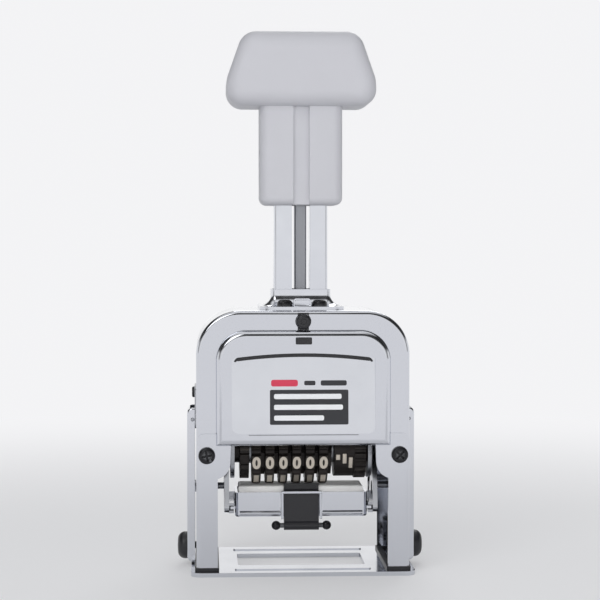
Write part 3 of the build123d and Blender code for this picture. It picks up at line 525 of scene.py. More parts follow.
def node_box(node):
    """The lowest and highest corner of a CAD node in millimetres."""
    low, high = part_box(node)
    return low / MM, high / MM


def body_of(node):
    """The body that a CAD node belongs to."""
    return frame["nodes"][node]["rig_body"]


def facing(direction):
    """A turn that brings +Z to a direction."""
    return Vector(direction).to_track_quat("Z", "Y").to_matrix().to_4x4()


def add_block(bm, size, centre):
    """A block of a size round a centre."""
    place = Matrix.Translation(centre) @ Matrix.Diagonal((*size, 1))
    bmesh.ops.create_cube(bm, size=1, matrix=place)


def add_cylinder(bm, radius, start, end, segments=None):
    """A cylinder from one point to another."""
    start, end = Vector(start), Vector(end)
    place = Matrix.Translation((start + end) / 2) @ facing(end - start)
    bmesh.ops.create_cone(
        bm, cap_ends=True, segments=segments or settings().fittings.segments,
        radius1=radius, radius2=radius, depth=(end - start).length, matrix=place,
    )


def break_edges(bm, edges, width, segments=2):
    """Rounds chosen edges."""
    bmesh.ops.bevel(
        bm, geom=edges, offset=width, segments=segments, profile=0.5, affect="EDGES",
        clamp_overlap=True, material=-1,
    )


def pull_faces(bm, faces, vector):
    """Extrudes faces along a vector, leaving nothing inside, and returns the moved faces."""
    edges = {edge for face in faces for edge in face.edges}
    verts = {vert for face in faces for vert in face.verts}
    made = bmesh.ops.extrude_face_region(bm, geom=[*faces, *edges, *verts])["geom"]
    moved = [item for item in made if isinstance(item, bmesh.types.BMVert)]
    bmesh.ops.translate(bm, vec=vector, verts=moved)
    return [item for item in made if isinstance(item, bmesh.types.BMFace)]


def merge_into(bm, other, place):
    """Adds another bmesh, moved by a matrix, and frees it."""
    other.transform(place)
    mesh = bpy.data.meshes.new("merge")
    other.to_mesh(mesh)
    other.free()
    bm.from_mesh(mesh)
    bpy.data.meshes.remove(mesh)


def finish_piece(bm, name, finish, body, replaces=(), smooth=32, edge=0.0, rings=2, more=()):
    """Turns a bmesh in millimetres into a finished piece that rides on a body."""
    bmesh.ops.scale(bm, vec=(MM, MM, MM), verts=bm.verts)
    mesh = bpy.data.meshes.new(name)
    bm.to_mesh(mesh)
    bm.free()
    mesh.polygons.foreach_set("use_smooth", [True] * len(mesh.polygons))
    mesh.set_sharp_from_angle(angle=math.radians(smooth))
    for part_finish in (finish, *more):
        mesh.materials.append(make_finish(part_finish))
    piece = bpy.data.objects.new(name, mesh)
    bpy.context.scene.collection.objects.link(piece)
    if edge:
        broken = piece.modifiers.new("broken_edge", "BEVEL")
        broken.width = edge * MM
        broken.segments = rings
        broken.limit_method = "ANGLE"
        broken.angle_limit = math.radians(38)
        even = piece.modifiers.new("even_shading", "WEIGHTED_NORMAL")
        even.keep_sharp = True
    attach(piece, body)
    if replaces:
        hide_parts(*replaces)
    return piece


def dress_copy(node, name, finish, edge=None, rings=2):
    """Stands a merged copy with broken edges in for a CAD node."""
    if edge is None:
        edge = settings().fittings.edge
    copied = cad_copy(node)
    join_slivers(copied)
    finish_piece(copied, name, finish, body_of(node), (node,), edge=edge, rings=rings)


def paint_nodes(finish, *nodes):
    """Gives CAD nodes, whose shapes stay, their finish."""
    for node in nodes:
        materials = frame["nodes"][node].data.materials
        materials.clear()
        materials.append(make_finish(finish))


def screw_head(radius, height, cross):
    """A pan head that stands on z = 0, with a slot or a cross in its crown."""
    recess = settings().fittings.recess
    crown, depth, reach, level = height * 0.6, height * 0.55, radius * 0.62, 0.75
    head = bmesh.new()
    add_cylinder(head, radius, (0, 0, 0), (0, 0, height))
    rim = [edge for edge in head.edges if all(v.co.z > height / 2 for v in edge.verts)]
    break_edges(head, rim, crown, segments=5)
    cuts = [((1, 0, 0), recess), ((0, 1, 0), reach)]
    if cross:
        cuts += [((0, 1, 0), recess), ((1, 0, 0), reach)]
    for normal, offset in cuts:
        for side in (-offset, offset):
            bmesh.ops.bisect_plane(
                head, geom=[*head.verts, *head.edges, *head.faces], dist=1e-5,
                plane_co=Vector(normal) * side, plane_no=normal,
            )
    cut_faces = []
    for face in head.faces:
        middle = face.calc_center_median()
        if face.normal.z < level or middle.z < crown:
            continue
        x, y = abs(middle.x), abs(middle.y)
        if (x < recess and y < reach) or (cross and y < recess and x < reach):
            cut_faces.append(face)
    pull_faces(head, cut_faces, (0, 0, -depth))
    return head


def add_screw(bm, seat, outward, radius, height, shank, reach, cross=True, turn=0.0):
    """A screw whose head stands on a seat and whose shank runs inwards."""
    place = Matrix.Translation(seat) @ facing(outward) @ Matrix.Rotation(turn, 4, "Z")
    merge_into(bm, screw_head(radius, height, cross), place)
    add_cylinder(bm, shank, seat, Vector(seat) - Vector(outward) * reach, segments=24)


def spin_profile(bm, profile, centre, axis, segments):
    """A closed turned piece from a profile of (radius, height) that starts and ends on the axis."""
    turned = bmesh.new()
    verts = [turned.verts.new((radius, 0, height)) for radius, height in profile]
    edges = [turned.edges.new(pair) for pair in zip(verts, verts[1:])]
    bmesh.ops.spin(
        turned, geom=[*verts, *edges], cent=(0, 0, 0), axis=(0, 0, 1), angle=2 * math.pi,
        steps=segments, use_merge=True,
    )
    bmesh.ops.remove_doubles(turned, verts=turned.verts, dist=1e-4)
    bmesh.ops.recalc_face_normals(turned, faces=turned.faces)
    merge_into(bm, turned, Matrix.Translation(centre) @ facing(axis))


def quarter_round(radius, height, corner, steps):
    """Points of (radius, height) round the upper corner of a turned piece."""
    points = []
    for step in range(steps + 1):
        angle = QUARTER * step / steps
        points.append((
            radius - corner + corner * math.cos(angle),
            height - corner + corner * math.sin(angle),
        ))
    return points


# ------------------------------------------------------------------ pieces
class MACHINE_OT_frame(bpy.types.Operator):
    """The arch frame, its dark liners and what is fixed inside it"""

    bl_idname = "machine.frame"
    bl_label = "Frame"

    def execute(self, context):
        dress_copy("frame_shell", "arch_frame", "frame_chrome", edge=0.35, rings=3)
        for side in SIDES:
            dress_copy(f"leg_seat_{side}", f"leg_liner_{side}", "black_plastic", edge=0.1)
        paint_nodes("steel_part", "guide_block", "stop_pin")
        dress_copy("spring_post", "grey_post", "post_grey", edge=0.25)
        studs = bmesh.new()
        low, high = node_box("bail_studs")
        _, y, z = (low + high) / 2
        web = node_box("frame_shell")[1].x
        head, crown, shank, tip = 1.8, 0.8, 1.0, 20.9
        washer = (1.5, 2.7)
        for sign in SIDES.values():
            add_screw(
                studs, (sign * web, y, z), (sign, 0, 0), head, crown, shank, web - tip,
                cross=False, turn=0.6,
            )
            ends = [(sign * (web - inset), y, z) for inset in washer]
            add_cylinder(studs, head, *ends)
        finish_piece(studs, "bail_guide_studs", "steel_part", "frame", ("bail_studs",))
        return {"FINISHED"}


class MACHINE_OT_foot(bpy.types.Operator):
    """The windowed foot"""

    bl_idname = "machine.foot"
    bl_label = "Foot"

    def execute(self, context):
        dress_copy("foot_plate", "foot_pressing", "frame_chrome", edge=0.3, rings=3)
        return {"FINISHED"}


class MACHINE_OT_covers(bpy.types.Operator):
    """The pressed covers with their ear screws and the black tab"""

    bl_idname = "machine.covers"
    bl_label = "Covers"

    def execute(self, context):
        for end in ("front", "rear"):
            node = f"{end}_cover"
            dress_copy(node, f"{node}_pressing", "cover_chrome", edge=0.35, rings=3)
        dress_copy("lock_tab", "black_tab", "black_plastic", edge=0.15)
        screws = bmesh.new()
        low, high = node_box("cover_screws")
        head, crown, shank, reach = 2.4, 1.5, 1.2, 3.6
        for outward, face in ((-1, low.y), (1, high.y)):
            for sign in SIDES.values():
                seat = (sign * (high.x - head), face - outward * crown, (low.z + high.z) / 2)
                add_screw(
                    screws, seat, (0, outward, 0), head, crown, shank, reach,
                    turn=0.5 + sign * 0.3,
                )
        finish_piece(screws, "ear_screws", "black_screw", "frame", ("cover_screws",))
        return {"FINISHED"}


class MACHINE_OT_plate(bpy.types.Operator):
    """The plain name plate with its rules and dashes, and on the panel a black strip and a grey
    crease line of painted shade
    """

    bl_idname = "machine.plate"
    bl_label = "Name plate"

    def execute(self, context):
        dress_copy("name_plate", "plate_ground", "plate_black", edge=0.08)
        ground = cad_copy("name_plate")
        front = front_face(ground)
        normal, middle = front.normal.copy(), front.calc_center_bounds()
        ground.free()
        right = Vector((1, 0, 0))
        axes = Matrix((right, normal.cross(right), normal)).transposed().to_4x4()
        place = Matrix.Translation(middle) @ axes
        rules = [
            (-0.4, 3.05, 19.2, 1.45), (-0.2, 0.0, 19.6, 1.45), (-2.9, -3.05, 14.2, 1.45),
        ]
        self.strips("plate_rules", "plate_rule", rules, 0.07, place)
        low, high = node_box("name_plate")
        half_height = (high.z - low.z) / 2
        panel_below, dash_depth = 0.35, 0.12
        place = Matrix.Translation(-normal * panel_below) @ place
        above = half_height + 1.9
        self.strips("plate_red_dash", "plate_red", [(-7.0, above, 7.6, 1.9)], dash_depth, place)
        dark = [(0.2, above, 3.2, 1.3), (7.0, above, 7.4, 1.5)]
        self.strips("plate_dark_dash", "plate_black", dark, dash_depth, place)
        to_panel = place @ Matrix.Translation((-middle.x, 0, 0))
        # A black strip along the panel's upper edge: painted shade.
        self.panel_gap(to_panel)
        # The crease is a thin grey rod, darker than the chrome round it: painted shade of the
        # crease line.
        crease = bmesh.new()
        below, reach, proud = half_height + 2.9, 15.6, 0.04
        ends = [(x, -below, proud) for x in (-reach, reach)]
        add_cylinder(crease, 0.24, *ends, segments=16)
        crease.transform(to_panel)
        finish_piece(crease, "panel_crease", "post_grey", "frame")
        return {"FINISHED"}

    @staticmethod
    def strips(name, finish, rows, depth, place):
        """Thin raised strips of (x, y, length, height) on a plane."""
        raised = bmesh.new()
        for x, y, length, height in rows:
            bar = bmesh.new()
            add_block(bar, (length, height, depth), (x, y, depth / 2))
            upright = [e for e in bar.edges if abs(e.verts[0].co.z - e.verts[1].co.z) > depth / 2]
            corner = min(length, height) * 0.3
            break_edges(bar, upright, corner, segments=3)
            merge_into(raised, bar, place)
        finish_piece(raised, name, finish, "frame", smooth=30)

    @staticmethod
    def panel_gap(to_panel):
        """A black crowned strip of painted shade along the panel's upper edge, under the ledge,
        with turned-down ends.
        """
        half, crown, above_plate = 20.4, 1.4, 15.3
        tall, deep, corner = 1.05, 0.35, 0.7
        steps, step_turn, taper = 5, math.radians(12), (0.86, 0.86, 0.9)
        radius = (half ** 2 + crown ** 2) / (2 * crown)
        shade_strip = bmesh.new()
        section = ((radius, 0), (radius - tall, 0), (radius - tall, deep), (radius, deep))
        verts = [shade_strip.verts.new((0, y, z)) for y, z in section]
        start = shade_strip.faces.new(verts)
        reach = math.asin((half - corner - tall) / radius)
        bmesh.ops.rotate(shade_strip, cent=(0, 0, 0), matrix=Matrix.Rotation(reach, 3, "Z"), verts=verts)
        last = bmesh.ops.spin(
            shade_strip, geom=[start, *start.edges, *verts], cent=(0, 0, 0), axis=(0, 0, 1),
            angle=-2 * reach, steps=40,
        )["geom_last"]
        end = next(item for item in last if isinstance(item, bmesh.types.BMFace))
        for sign, face in ((1, start), (-1, end)):
            inner = Vector((0, radius - tall - corner, 0))
            pivot = Matrix.Rotation(sign * reach, 3, "Z") @ inner
            for _ in range(steps):
                face = pull_faces(shade_strip, [face], (0, 0, 0))[0]
                verts = face.verts[:]
                turn = Matrix.Rotation(sign * step_turn, 3, "Z")
                bmesh.ops.rotate(shade_strip, cent=pivot, matrix=turn, verts=verts)
                middle = face.calc_center_median()
                middle.z = 0
                bmesh.ops.scale(shade_strip, vec=taper, space=Matrix.Translation(-middle), verts=verts)
        bmesh.ops.recalc_face_normals(shade_strip, faces=shade_strip.faces)
        shade_strip.transform(to_panel @ Matrix.Translation((0, above_plate - radius, 0)))
        finish_piece(shade_strip, "panel_gap", "black_plastic", "frame", smooth=40)


class MACHINE_OT_collar(bpy.types.Operator):
    """The collar on the arch with its four screws and the clip"""

    bl_idname = "machine.collar"
    bl_label = "Collar"

    def execute(self, context):
        dress_copy("collar", "collar_pressing", "plunger_chrome", edge=0.2)
        clip = cad_copy("collar_clip")
        front = front_face(clip)
        rim, recess = 0.55, 0.9
        bmesh.ops.inset_individual(clip, faces=[front], thickness=rim, depth=0)
        pull_faces(clip, [front], (0, recess, 0))
        finish_piece(
            clip, "chrome_clip", "plunger_chrome", body_of("collar_clip"), ("collar_clip",),
            edge=0.12,
        )
        screws = bmesh.new()
        low, high = node_box("collar_screws")
        head, crown, shank = 2.2, 1.9, 1.2
        reach = high.z - low.z - crown
        for x in (low.x + head, high.x - head):
            for y in (low.y + head, high.y - head):
                add_screw(
                    screws, (x, y, high.z - crown), (0, 0, 1), head, crown, shank, reach,
                    turn=x * 0.2 + y * 0.1,
                )
        finish_piece(screws, "collar_pan_screws", "black_screw", "frame", ("collar_screws",))
        return {"FINISHED"}


class MACHINE_OT_lock(bpy.types.Operator):
    """The lock button, and the dark slide round it"""

    bl_idname = "machine.lock"
    bl_label = "Lock button"

    def execute(self, context):
        low, high = node_box("lock_button")
        radius, length, z = (high.x - low.x) / 2, high.y - low.y, (low.z + high.z) / 2
        stem, button_back, corner = 1.1, length - 4.2, 0.8
        profile = [
            (0, 0), (stem, 0), (stem, button_back), (radius, button_back),
            *quarter_round(radius, length, corner, steps=6),
            (0.9, length), (0.75, length - 0.15), (0, length - 0.2),
        ]
        button = bmesh.new()
        spin_profile(button, profile, (0, high.y, z), (0, -1, 0), segments=48)
        finish_piece(button, "lock_push", "black_plastic", "lock", ("lock_button",))
        front = node_box("frame_shell")[0].y
        hole, half, reach, thick, steps = radius + 0.12, 1.6, 2.45, 0.35, 8
        widest = math.asin(half / hole)
        angles = [widest * (1 - 2 * step / steps) for step in range(steps + 1)]
        outline = [(hole * math.sin(angle), hole * math.cos(angle)) for angle in angles]
        outline += [(-half, reach), (half, reach)]
        slide = bmesh.new()
        for sign in (-1, 1):
            verts = [slide.verts.new((x, front, z + sign * rise)) for x, rise in outline]
            pull_faces(slide, [slide.faces.new(verts)], (0, -thick, 0))
        bmesh.ops.recalc_face_normals(slide, faces=slide.faces)
        finish_piece(slide, "lock_slide", "black_plastic", "frame")
        return {"FINISHED"}


class MACHINE_OT_latches(bpy.types.Operator):
    """The side levers with their knobs, brackets, pins and screws"""

    bl_idname = "machine.latches"
    bl_label = "Foot latches"

    def execute(self, context):
        side_screws = bmesh.new()
        low, high = node_box("side_screws")
        height = (low.z + high.z) / 2
        head, crown, shank, reach = 1.6, 0.8, 0.9, 2.0
        for side, sign in SIDES.items():
            dress_copy(f"latch_lever_{side}", f"side_lever_{side}", "frame_chrome", edge=0.12)
            dress_copy(f"latch_bracket_{side}", f"lever_bracket_{side}", "steel_part", edge=0.1)
            self.knob(side, sign)
            add_screw(
                side_screws, (sign * (high.x - crown), 0, height), (sign, 0, 0), head, crown,
                shank, reach, cross=False, turn=0.9,
            )
        finish_piece(side_screws, "bracket_screws", "black_screw", "frame", ("side_screws",))
        pins = bmesh.new()
        low, high = node_box("latch_pins")
        radius, pivot = (high.z - low.z) / 2, (low.z + high.z) / 2
        proud, rounding = 0.15, 0.2
        for sign in SIDES.values():
            x = sign * (high.x - radius)
            pin = bmesh.new()
            ends = [(x, y, pivot) for y in (low.y - proud, high.y + proud)]
            add_cylinder(pin, radius, *ends, segments=24)
            rims = [edge for edge in pin.edges if edge.calc_face_angle() > 1]
            break_edges(pin, rims, rounding, segments=3)
            merge_into(pins, pin, Matrix.Identity(4))
        finish_piece(pins, "hinge_pins", "steel_part", body_of("latch_pins"), ("latch_pins",))
        return {"FINISHED"}

    @staticmethod
    def knob(side, sign):
        """The round knob of a lever, with its neck."""
        low, high = node_box(f"latch_knob_{side}")
        radius, z = (high.z - low.z) / 2, (low.z + high.z) / 2
        inner, outer = sorted((abs(low.x), abs(high.x)))
        proud, dome, shoulder, neck, neck_end = 2.9, 2.8, 2.1, 1.0, 2.5
        shape = quarter_round(radius, dome, shoulder, steps=8)
        profile = [(0, 0), (radius, 0), *shape, (0, proud)]
        knob = bmesh.new()
        seat = (sign * (outer - proud), 0, z)
        spin_profile(knob, profile, seat, (sign, 0, 0), segments=56)
        ends = [(sign * x, 0, z) for x in (inner, outer - neck_end)]
        add_cylinder(knob, neck, *ends, segments=24)
        finish_piece(
            knob, f"latch_push_{side}", "black_plastic", f"latch_{side}",
            (f"latch_knob_{side}",),
        )


class MACHINE_OT_handle(bpy.types.Operator):
    """The T handle with its two screws"""

    bl_idname = "machine.handle"
    bl_label = "Handle"

    def execute(self, context):
        paint_nodes("handle_plastic", "handle_grip")
        bolts = bmesh.new()
        low, high = node_box("handle_screws")
        head, crown, shank, reach = 2.2, 1.4, 1.25, 6.2
        for sign in SIDES.values():
            seat = (sign * (high.x - crown), 0, (low.z + high.z) / 2)
            add_screw(
                bolts, seat, (sign, 0, 0), head, crown, shank, reach, cross=False, turn=0.4
            )
        finish_piece(bolts, "handle_bolts", "black_screw", "head", ("handle_screws",))
        return {"FINISHED"}


class MACHINE_OT_plunger(bpy.types.Operator):
    """The two-bar plunger and the return spring in its slot"""

    bl_idname = "machine.plunger"
    bl_label = "Plunger"

    def execute(self, context):
        dress_copy("plunger_fork", "plunger_bars", "plunger_chrome", edge=0.2)
        low, high = node_box("return_spring")
        wire, coils, steps, stroke = 0.4, 9, 20, 24.0
        radius, length = (high.x - low.x) / 2 - wire, high.z - low.z
        spring = bmesh.new()
        ring = bmesh.ops.create_circle(
            spring, segments=10, radius=wire,
            matrix=Matrix.Translation((radius, 0, low.z + wire)) @ Matrix.Rotation(QUARTER, 4, "X"),
        )["verts"]
        edges = list({edge for vert in ring for edge in vert.link_edges})
        rise = (length - 2 * wire) / (coils * steps)
        bmesh.ops.spin(
            spring, geom=[*ring, *edges], cent=(0, 0, 0), axis=(0, 0, 1), dvec=(0, 0, rise),
            angle=2 * math.pi * coils, steps=coils * steps,
        )
        bmesh.ops.holes_fill(spring, edges=[e for e in spring.edges if e.is_boundary], sides=0)
        bmesh.ops.recalc_face_normals(spring, faces=spring.faces)
        piece = finish_piece(spring, "coil_spring", "spring_steel", "frame", ("return_spring",))
        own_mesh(piece)
        return {"FINISHED"}


class MACHINE_OT_head(bpy.types.Operator):
    """The head's bridge, shoes, cheeks, axle, detents and feed"""

    bl_idname = "machine.head"
    bl_label = "Head"

    def execute(self, context):
        dress_copy("head_bridge", "bridge_bar", "steel_part", edge=0.15)
        for side in SIDES:
            dress_copy(f"guide_shoe_{side}", f"guide_slipper_{side}", "black_plastic")
            dress_copy(f"cheek_{side}", f"cheek_plate_{side}", "steel_part", edge=0.12)
        dress_copy("axle_nuts", "axle_hex_nuts", "steel_part", edge=0.12)
        dress_copy("axle_collars", "end_collars", "wheel_dark", edge=0.12)
        dress_copy("feed_frame", "feed_yoke", "steel_part", edge=0.08)
        paint_nodes("steel_part", "wheel_axle", "detent_rod", "feed_pawls")
        paint_nodes("spring_steel", "detent_fingers")
        return {"FINISHED"}


def axle_height():
    """The height of the wheels' axle."""
    low, high = node_box("wheel_axle")
    return (low.z + high.z) / 2


class MACHINE_OT_wheels(bpy.types.Operator):
    """Six number wheels with ten raised figures each"""

    bl_idname = "machine.wheels"
    bl_label = "Number wheels"

    def execute(self, context):
        look = settings().figures
        to_flat, sunk, middle, pitch = 9.75, 0.12, 1.3, 360 / DIGITS
        upright = Matrix((
            (-1, 0, 0, 0), (0, 0, -1, -to_flat + sunk), (0, 1, 0, 0), (0, 0, 0, 1),
        ))
        glyphs = [self.figure(str(digit), look) for digit in range(DIGITS)]
        for number in range(1, WHEELS + 1):
            node = f"number_wheel_{number}"
            dress_copy(node, f"figure_wheel_{number}", "wheel_dark", edge=0.1)
            centre = Matrix.Translation((node_box(node)[0].x + middle, 0, axle_height()))
            shown = int(look.front[number - 1])
            figures = bmesh.new()
            for step in range(DIGITS):
                turn = Matrix.Rotation(math.radians(pitch * (step + 0.5)), 4, "X")
                glyph = glyphs[(shown + step) % DIGITS].copy()
                merge_into(figures, glyph, centre @ turn @ upright)
            bmesh.ops.recalc_face_normals(figures, faces=figures.faces)
            finish_piece(
                figures, f"figures_{number}", "wheel_dark", f"wheel_{number}", smooth=25,
                more=("figure_face",),
            )
        for glyph in glyphs:
            glyph.free()
        return {"FINISHED"}

    @staticmethod
    def figure(text, look):
        """A raised figure in the XY plane, centred, with its face at the top."""
        curve = bpy.data.curves.new("figure", "FONT")
        curve.body = text
        curve.align_x = "CENTER"
        curve.offset = look.weight
        curve.resolution_u = 6
        curve.extrude = 0.5
        shape = bpy.data.objects.new("figure", curve)
        mesh = bpy.data.meshes.new_from_object(shape)
        glyph = bmesh.new()
        glyph.from_mesh(mesh)
        bpy.data.meshes.remove(mesh)
        bpy.data.objects.remove(shape)
        bpy.data.curves.remove(curve)
        bmesh.ops.remove_doubles(glyph, verts=glyph.verts, dist=1e-5)
        xs, ys, zs = zip(*(vert.co for vert in glyph.verts))
        middle = Vector(((max(xs) + min(xs)) / 2, (max(ys) + min(ys)) / 2, min(zs)))
        bmesh.ops.translate(glyph, vec=-middle, verts=glyph.verts)
        raised, narrow = 0.34, 0.6
        wide = look.width * narrow if text == "1" else look.width
        size = (wide / (max(xs) - min(xs)), look.height / (max(ys) - min(ys)), raised)
        bmesh.ops.scale(glyph, vec=size, verts=glyph.verts)
        for face in glyph.faces:
            if face.normal.z > 0.9:
                face.material_index = 1
        return glyph


class MACHINE_OT_dial(bpy.types.Operator):
    """The repeat dial with its light bars"""

    bl_idname = "machine.dial"
    bl_label = "Repeat dial"

    def execute(self, context):
        dress_copy("repeat_dial", "dial_drum", "wheel_dark", edge=0.12)
        low, high = node_box("repeat_dial")
        drum = (high.z - low.z) / 2 - 0.5
        wide, thick, proud, rounding = 1.15, 0.5, 0.05, 0.12
        placed = ((1.0, -12, 1.6), (2.9, -15, 3.0), (4.7, -24, 3.6))
        bars = bmesh.new()
        for x, angle, length in placed:
            for turned in (0, 120, 240):
                bar = bmesh.new()
                add_block(bar, (wide, thick, length), (0, -drum - proud, 0))
                break_edges(bar, bar.edges[:], rounding)
                turn = Matrix.Rotation(math.radians(-angle + turned), 4, "X")
                merge_into(bars, bar, Matrix.Translation((low.x + x, 0, axle_height())) @ turn)
        finish_piece(bars, "dial_bars", "figure_face", "dial")
        return {"FINISHED"}


class MACHINE_OT_bail(bpy.types.Operator):
    """The slotted bail that swings the ink pad"""

    bl_idname = "machine.bail"
    bl_label = "Pad bail"

    def execute(self, context):
        # The bail's chrome is darkened: painted dark reflections.
        dress_copy("pad_bail", "bail_arms", "bail_chrome", edge=0.12)
        return {"FINISHED"}


class MACHINE_OT_tray(bpy.types.Operator):
    """The pad tray with its felt, black grip and pin"""

    bl_idname = "machine.tray"
    bl_label = "Pad tray"

    def execute(self, context):
        dress_copy("pad_tray", "tray_pressing", "plunger_chrome", edge=0.12)
        dress_copy("pad_grip", "thumb_grip", "black_plastic", edge=0.2, rings=3)
        self.staple()
        self.felt()
        self.pin()
        return {"FINISHED"}

    @staticmethod
    def staple():
        """The chrome staple round the grip."""
        low, high = node_box("pad_grip")
        rim = node_box("pad_tray")[1].z
        half, foot, y = high.x + 0.85, low.z + 3.4, low.y - 0.15
        tall, thick, leg, above_rim = 0.75, 0.5, 0.7, 0.25
        staple = bmesh.new()
        add_block(staple, (2 * half, thick, tall), (0, y, rim + above_rim))
        for sign in SIDES.values():
            add_block(
                staple, (leg, thick, rim - foot), (sign * (half - leg / 2), y, (rim + foot) / 2)
            )
        finish_piece(staple, "grip_staple", "plunger_chrome", "tray", edge=0.12)

    @staticmethod
    def felt():
        """The felt pad with its rounded upper edge."""
        low, high = node_box("ink_pad")
        size, slack, rounding, near_top = high - low, 0.1, 0.7, high.z - 0.2
        felt = bmesh.new()
        bmesh.ops.create_grid(felt, x_segments=44, y_segments=16, size=0.5)
        bmesh.ops.scale(felt, vec=(size.x - slack, size.y - slack, 1), verts=felt.verts)
        seat = ((low.x + high.x) / 2, (low.y + high.y) / 2, low.z + slack / 2)
        bmesh.ops.translate(felt, vec=seat, verts=felt.verts)
        pull_faces(felt, felt.faces[:], (0, 0, size.z - slack))
        bmesh.ops.recalc_face_normals(felt, faces=felt.faces)
        rim = [
            edge for edge in felt.edges
            if all(v.co.z > near_top for v in edge.verts)
            and edge.is_manifold and edge.calc_face_angle() > 1
        ]
        break_edges(felt, rim, rounding, segments=4)
        pad = finish_piece(felt, "felt_pad", "pad_felt", "tray", ("ink_pad",), smooth=60)

    @staticmethod
    def pin():
        """The pin through the grip, with a ball at each end."""
        low, high = node_box("grip_pin")
        ball = (high.z - low.z) / 2
        _, y, z = (low + high) / 2
        thin, inset = 0.72, 1
        rod = bmesh.new()
        ends = [(x, y, z) for x in (low.x + inset, high.x - inset)]
        add_cylinder(rod, thin, *ends, segments=20)
        for x in (low.x + ball, high.x - ball):
            bmesh.ops.create_uvsphere(
                rod, u_segments=24, v_segments=16, radius=ball,
                matrix=Matrix.Translation((x, y, z)) @ Matrix.Rotation(QUARTER, 4, "Y"),
            )
        finish_piece(rod, "grip_rod", "black_screw", "tray", ("grip_pin",), smooth=60)


# ------------------------------------------------------------------ stage
# Tones of what metal mirrors: from straight down to straight up, and from the front to the rear.
CEILING = (
    (0.0, 0.85), (0.5, 1.0), (0.6, 0.94), (0.66, 0.07), (0.88, 0.04), (0.95, 0.9), (1.0, 1.0),
)
CARDS = (
    (0.0, 1.0), (0.19, 0.97), (0.25, 0.62), (0.31, 0.30), (0.38, 0.34), (0.43, 0.95), (1.0, 1.0),
)

# Each lamp: its name, place, size, power, and whether metal mirrors it.
LAMPS = (
    ("key", (-0.45, -0.75, 0.75), 0.6, 2.6, True),
    ("fill", (0.55, -0.8, 0.16), 0.6, 1.4, False),
    ("front", (-0.05, -1.1, 0.16), 0.5, 4.2, False),
    ("back", (0.15, 0.75, 0.65), 0.5, 2.0, True),
)


def any_ray(tree, *kinds):
    """A socket that is 1 for a ray of any of the kinds."""
    rays = add_node(tree, "LightPath").outputs
    found = rays[f"Is {kinds[0]} Ray"]
    for kind in kinds[1:]:
        found = maths(tree, "MAXIMUM", found, rays[f"Is {kind} Ray"])
    return found


def floor_material(look):
    """A pale floor that fades into the background's colour with distance."""
    material, tree, shader = start_material(
        "studio_floor", look.floor, metallic=0.0, roughness=0.7
    )
    place = add_node(tree, "TexCoord").outputs["Object"]
    length = add_node(tree, "VectorMath", {0: place}, operation="LENGTH").outputs["Value"]
    fade = map_range(
        tree, {"Value": length, "From Min": 0.08, "From Max": 0.45, "To Min": 0.3},
        interpolation_type="SMOOTHSTEP",
    )
    air = add_node(tree, "Emission", {"Color": (*look.air, 1)}).outputs["Emission"]
    seen = any_ray(tree, "Camera", "Glossy", "Transmission")
    mix = mix_shaders(tree, maths(tree, "MULTIPLY", fade, seen), shader.outputs["BSDF"], air)
    feed(tree.nodes["Material Output"], {"Surface": mix})
    return material


def value_ramp(tree, value, stops):
    """A grey ramp over a value from 0 to 1."""
    ramp = add_node(tree, "ValToRGB", {"Fac": value})
    elements = ramp.color_ramp.elements
    while len(elements) < len(stops):
        elements.new(0.5)
    for element, (position, tone) in zip(elements, stops):
        element.position = position
        element.color = (tone, tone, tone, 1)
    return ramp.outputs["Color"]


def studio_world(look):
    """Plain soft light, a pale background, and the dark ceiling and cards that metal shows."""
    world = bpy.data.worlds.new("studio")
    bpy.context.scene.world = world
    world.use_nodes = True
    tree = world.node_tree
    tree.nodes.clear()

    def background(values):
        """A background shader."""
        return add_node(tree, "Background", values).outputs["Background"]

    direction = add_node(tree, "TexCoord").outputs["Generated"]
    axes = add_node(tree, "SeparateXYZ", {"Vector": direction}).outputs
    rise = map_range(tree, {"Value": axes["Z"], "From Min": -1, "From Max": 1})
    heading = maths(tree, "ARCTAN2", maths(tree, "ABSOLUTE", axes["X"]), axes["Y"])
    turn = map_range(tree, {"Value": heading, "From Min": math.pi, "From Max": 0})
    shown = add_node(
        tree, "Mix", {0: 1, 6: value_ramp(tree, rise, CEILING), 7: value_ramp(tree, turn, CARDS)},
        data_type="RGBA", blend_type="MULTIPLY",
    ).outputs[2]
    soft = background({"Color": (0.95, 0.97, 1.0, 1), "Strength": 0.38})
    air = background({"Color": (*look.air, 1)})
    seen = mix_shaders(tree, any_ray(tree, "Camera", "Transmission"), soft, air)
    lit = mix_shaders(tree, any_ray(tree, "Glossy"), seen, background({"Color": shown}))
    add_node(tree, "OutputWorld", {"Surface": lit})


def aim(item, direction):
    """Turns a lamp or camera to look in a direction."""
    item.rotation_euler = direction.to_track_quat("-Z", "Y").to_euler()


def add_lamp(target, name, location, size, power, shines):
    """A soft square lamp aimed at a point."""
    light = bpy.data.lights.new(name, "AREA")
    light.size = size
    light.energy = power
    lamp = bpy.data.objects.new(name, light)
    lamp.location = location
    aim(lamp, target - Vector(location))
    lamp.visible_glossy = shines
    bpy.context.scene.collection.objects.link(lamp)


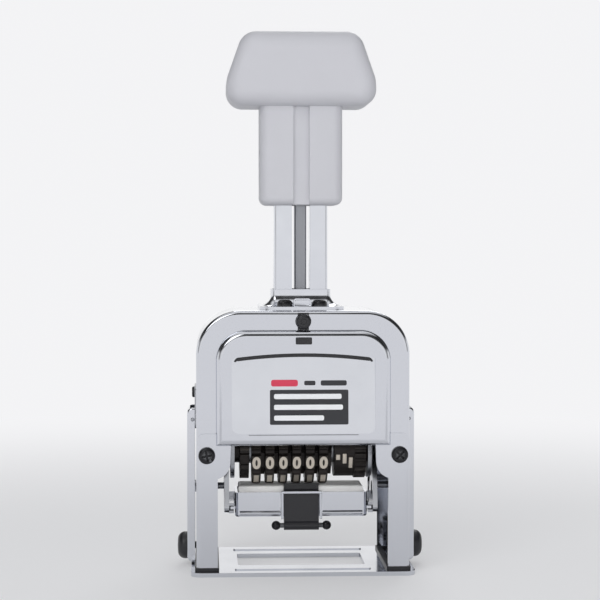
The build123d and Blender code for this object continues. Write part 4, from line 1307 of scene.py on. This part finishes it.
class MACHINE_OT_stage(bpy.types.Operator):
    """Floor, world, lamps and camera"""

    bl_idname = "machine.stage"
    bl_label = "Stage"

    def execute(self, context):
        look = settings().stage
        scene = context.scene
        scene.view_settings.view_transform = "Standard"
        low, high = cad_box
        middle = (Vector(low) + Vector(high)) / 2
        ground = bmesh.new()
        bmesh.ops.create_circle(ground, cap_ends=True, segments=96, radius=6)
        mesh = bpy.data.meshes.new("studio_floor")
        ground.to_mesh(mesh)
        ground.free()
        mesh.materials.append(floor_material(look))
        floor = bpy.data.objects.new("studio_floor", mesh)
        scene.collection.objects.link(floor)
        studio_world(look)
        for lamp in LAMPS:
            add_lamp(middle, *lamp)
        camera = bpy.data.objects.new("camera", bpy.data.cameras.new("camera"))
        camera.data.lens = look.lens
        camera.data.clip_start = 0.01
        heading = Vector((
            math.sin(look.azimuth) * math.cos(look.elevation),
            -math.cos(look.azimuth) * math.cos(look.elevation),
            math.sin(look.elevation),
        ))
        camera.location = middle + heading * look.distance
        aim(camera, -heading)
        scene.collection.objects.link(camera)
        scene.camera = camera
        return {"FINISHED"}


PIECES = (
    MACHINE_OT_frame,
    MACHINE_OT_foot,
    MACHINE_OT_covers,
    MACHINE_OT_plate,
    MACHINE_OT_collar,
    MACHINE_OT_lock,
    MACHINE_OT_latches,
    MACHINE_OT_handle,
    MACHINE_OT_plunger,
    MACHINE_OT_head,
    MACHINE_OT_wheels,
    MACHINE_OT_dial,
    MACHINE_OT_bail,
    MACHINE_OT_tray,
    MACHINE_OT_stage,
)


class MACHINE_PT_panel(bpy.types.Panel):
    """Lists the machine's settings and pieces"""

    bl_label = "Numbering machine"
    bl_idname = "MACHINE_PT_panel"
    bl_space_type = "VIEW_3D"
    bl_region_type = "UI"
    bl_category = "Numbering machine"

    def draw(self, context):
        for group in ("finish", "figures", "fittings", "stage"):
            box = self.layout.box()
            box.label(text=group.capitalize())
            values = getattr(settings(), group)
            for name in values.__annotations__:
                box.prop(values, name)
        for piece in PIECES:
            self.layout.operator(piece.bl_idname)


CLASSES = (
    FinishSettings,
    FigureSettings,
    FittingSettings,
    StageSettings,
    MachineSettings,
    *PIECES,
    MACHINE_PT_panel,
)


def register():
    """Registers the settings, operators and panel."""
    for item in CLASSES:
        bpy.utils.register_class(item)
    bpy.types.Scene.numbering_machine = PointerProperty(type=MachineSettings)


def unregister():
    """Removes what register added."""
    del bpy.types.Scene.numbering_machine
    for item in reversed(CLASSES):
        bpy.utils.unregister_class(item)


def main():
    """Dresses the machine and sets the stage."""
    register()
    for piece in PIECES:
        group, name = piece.bl_idname.split(".")
        getattr(getattr(bpy.ops, group), name)()


if __name__ == "__main__":
    main()
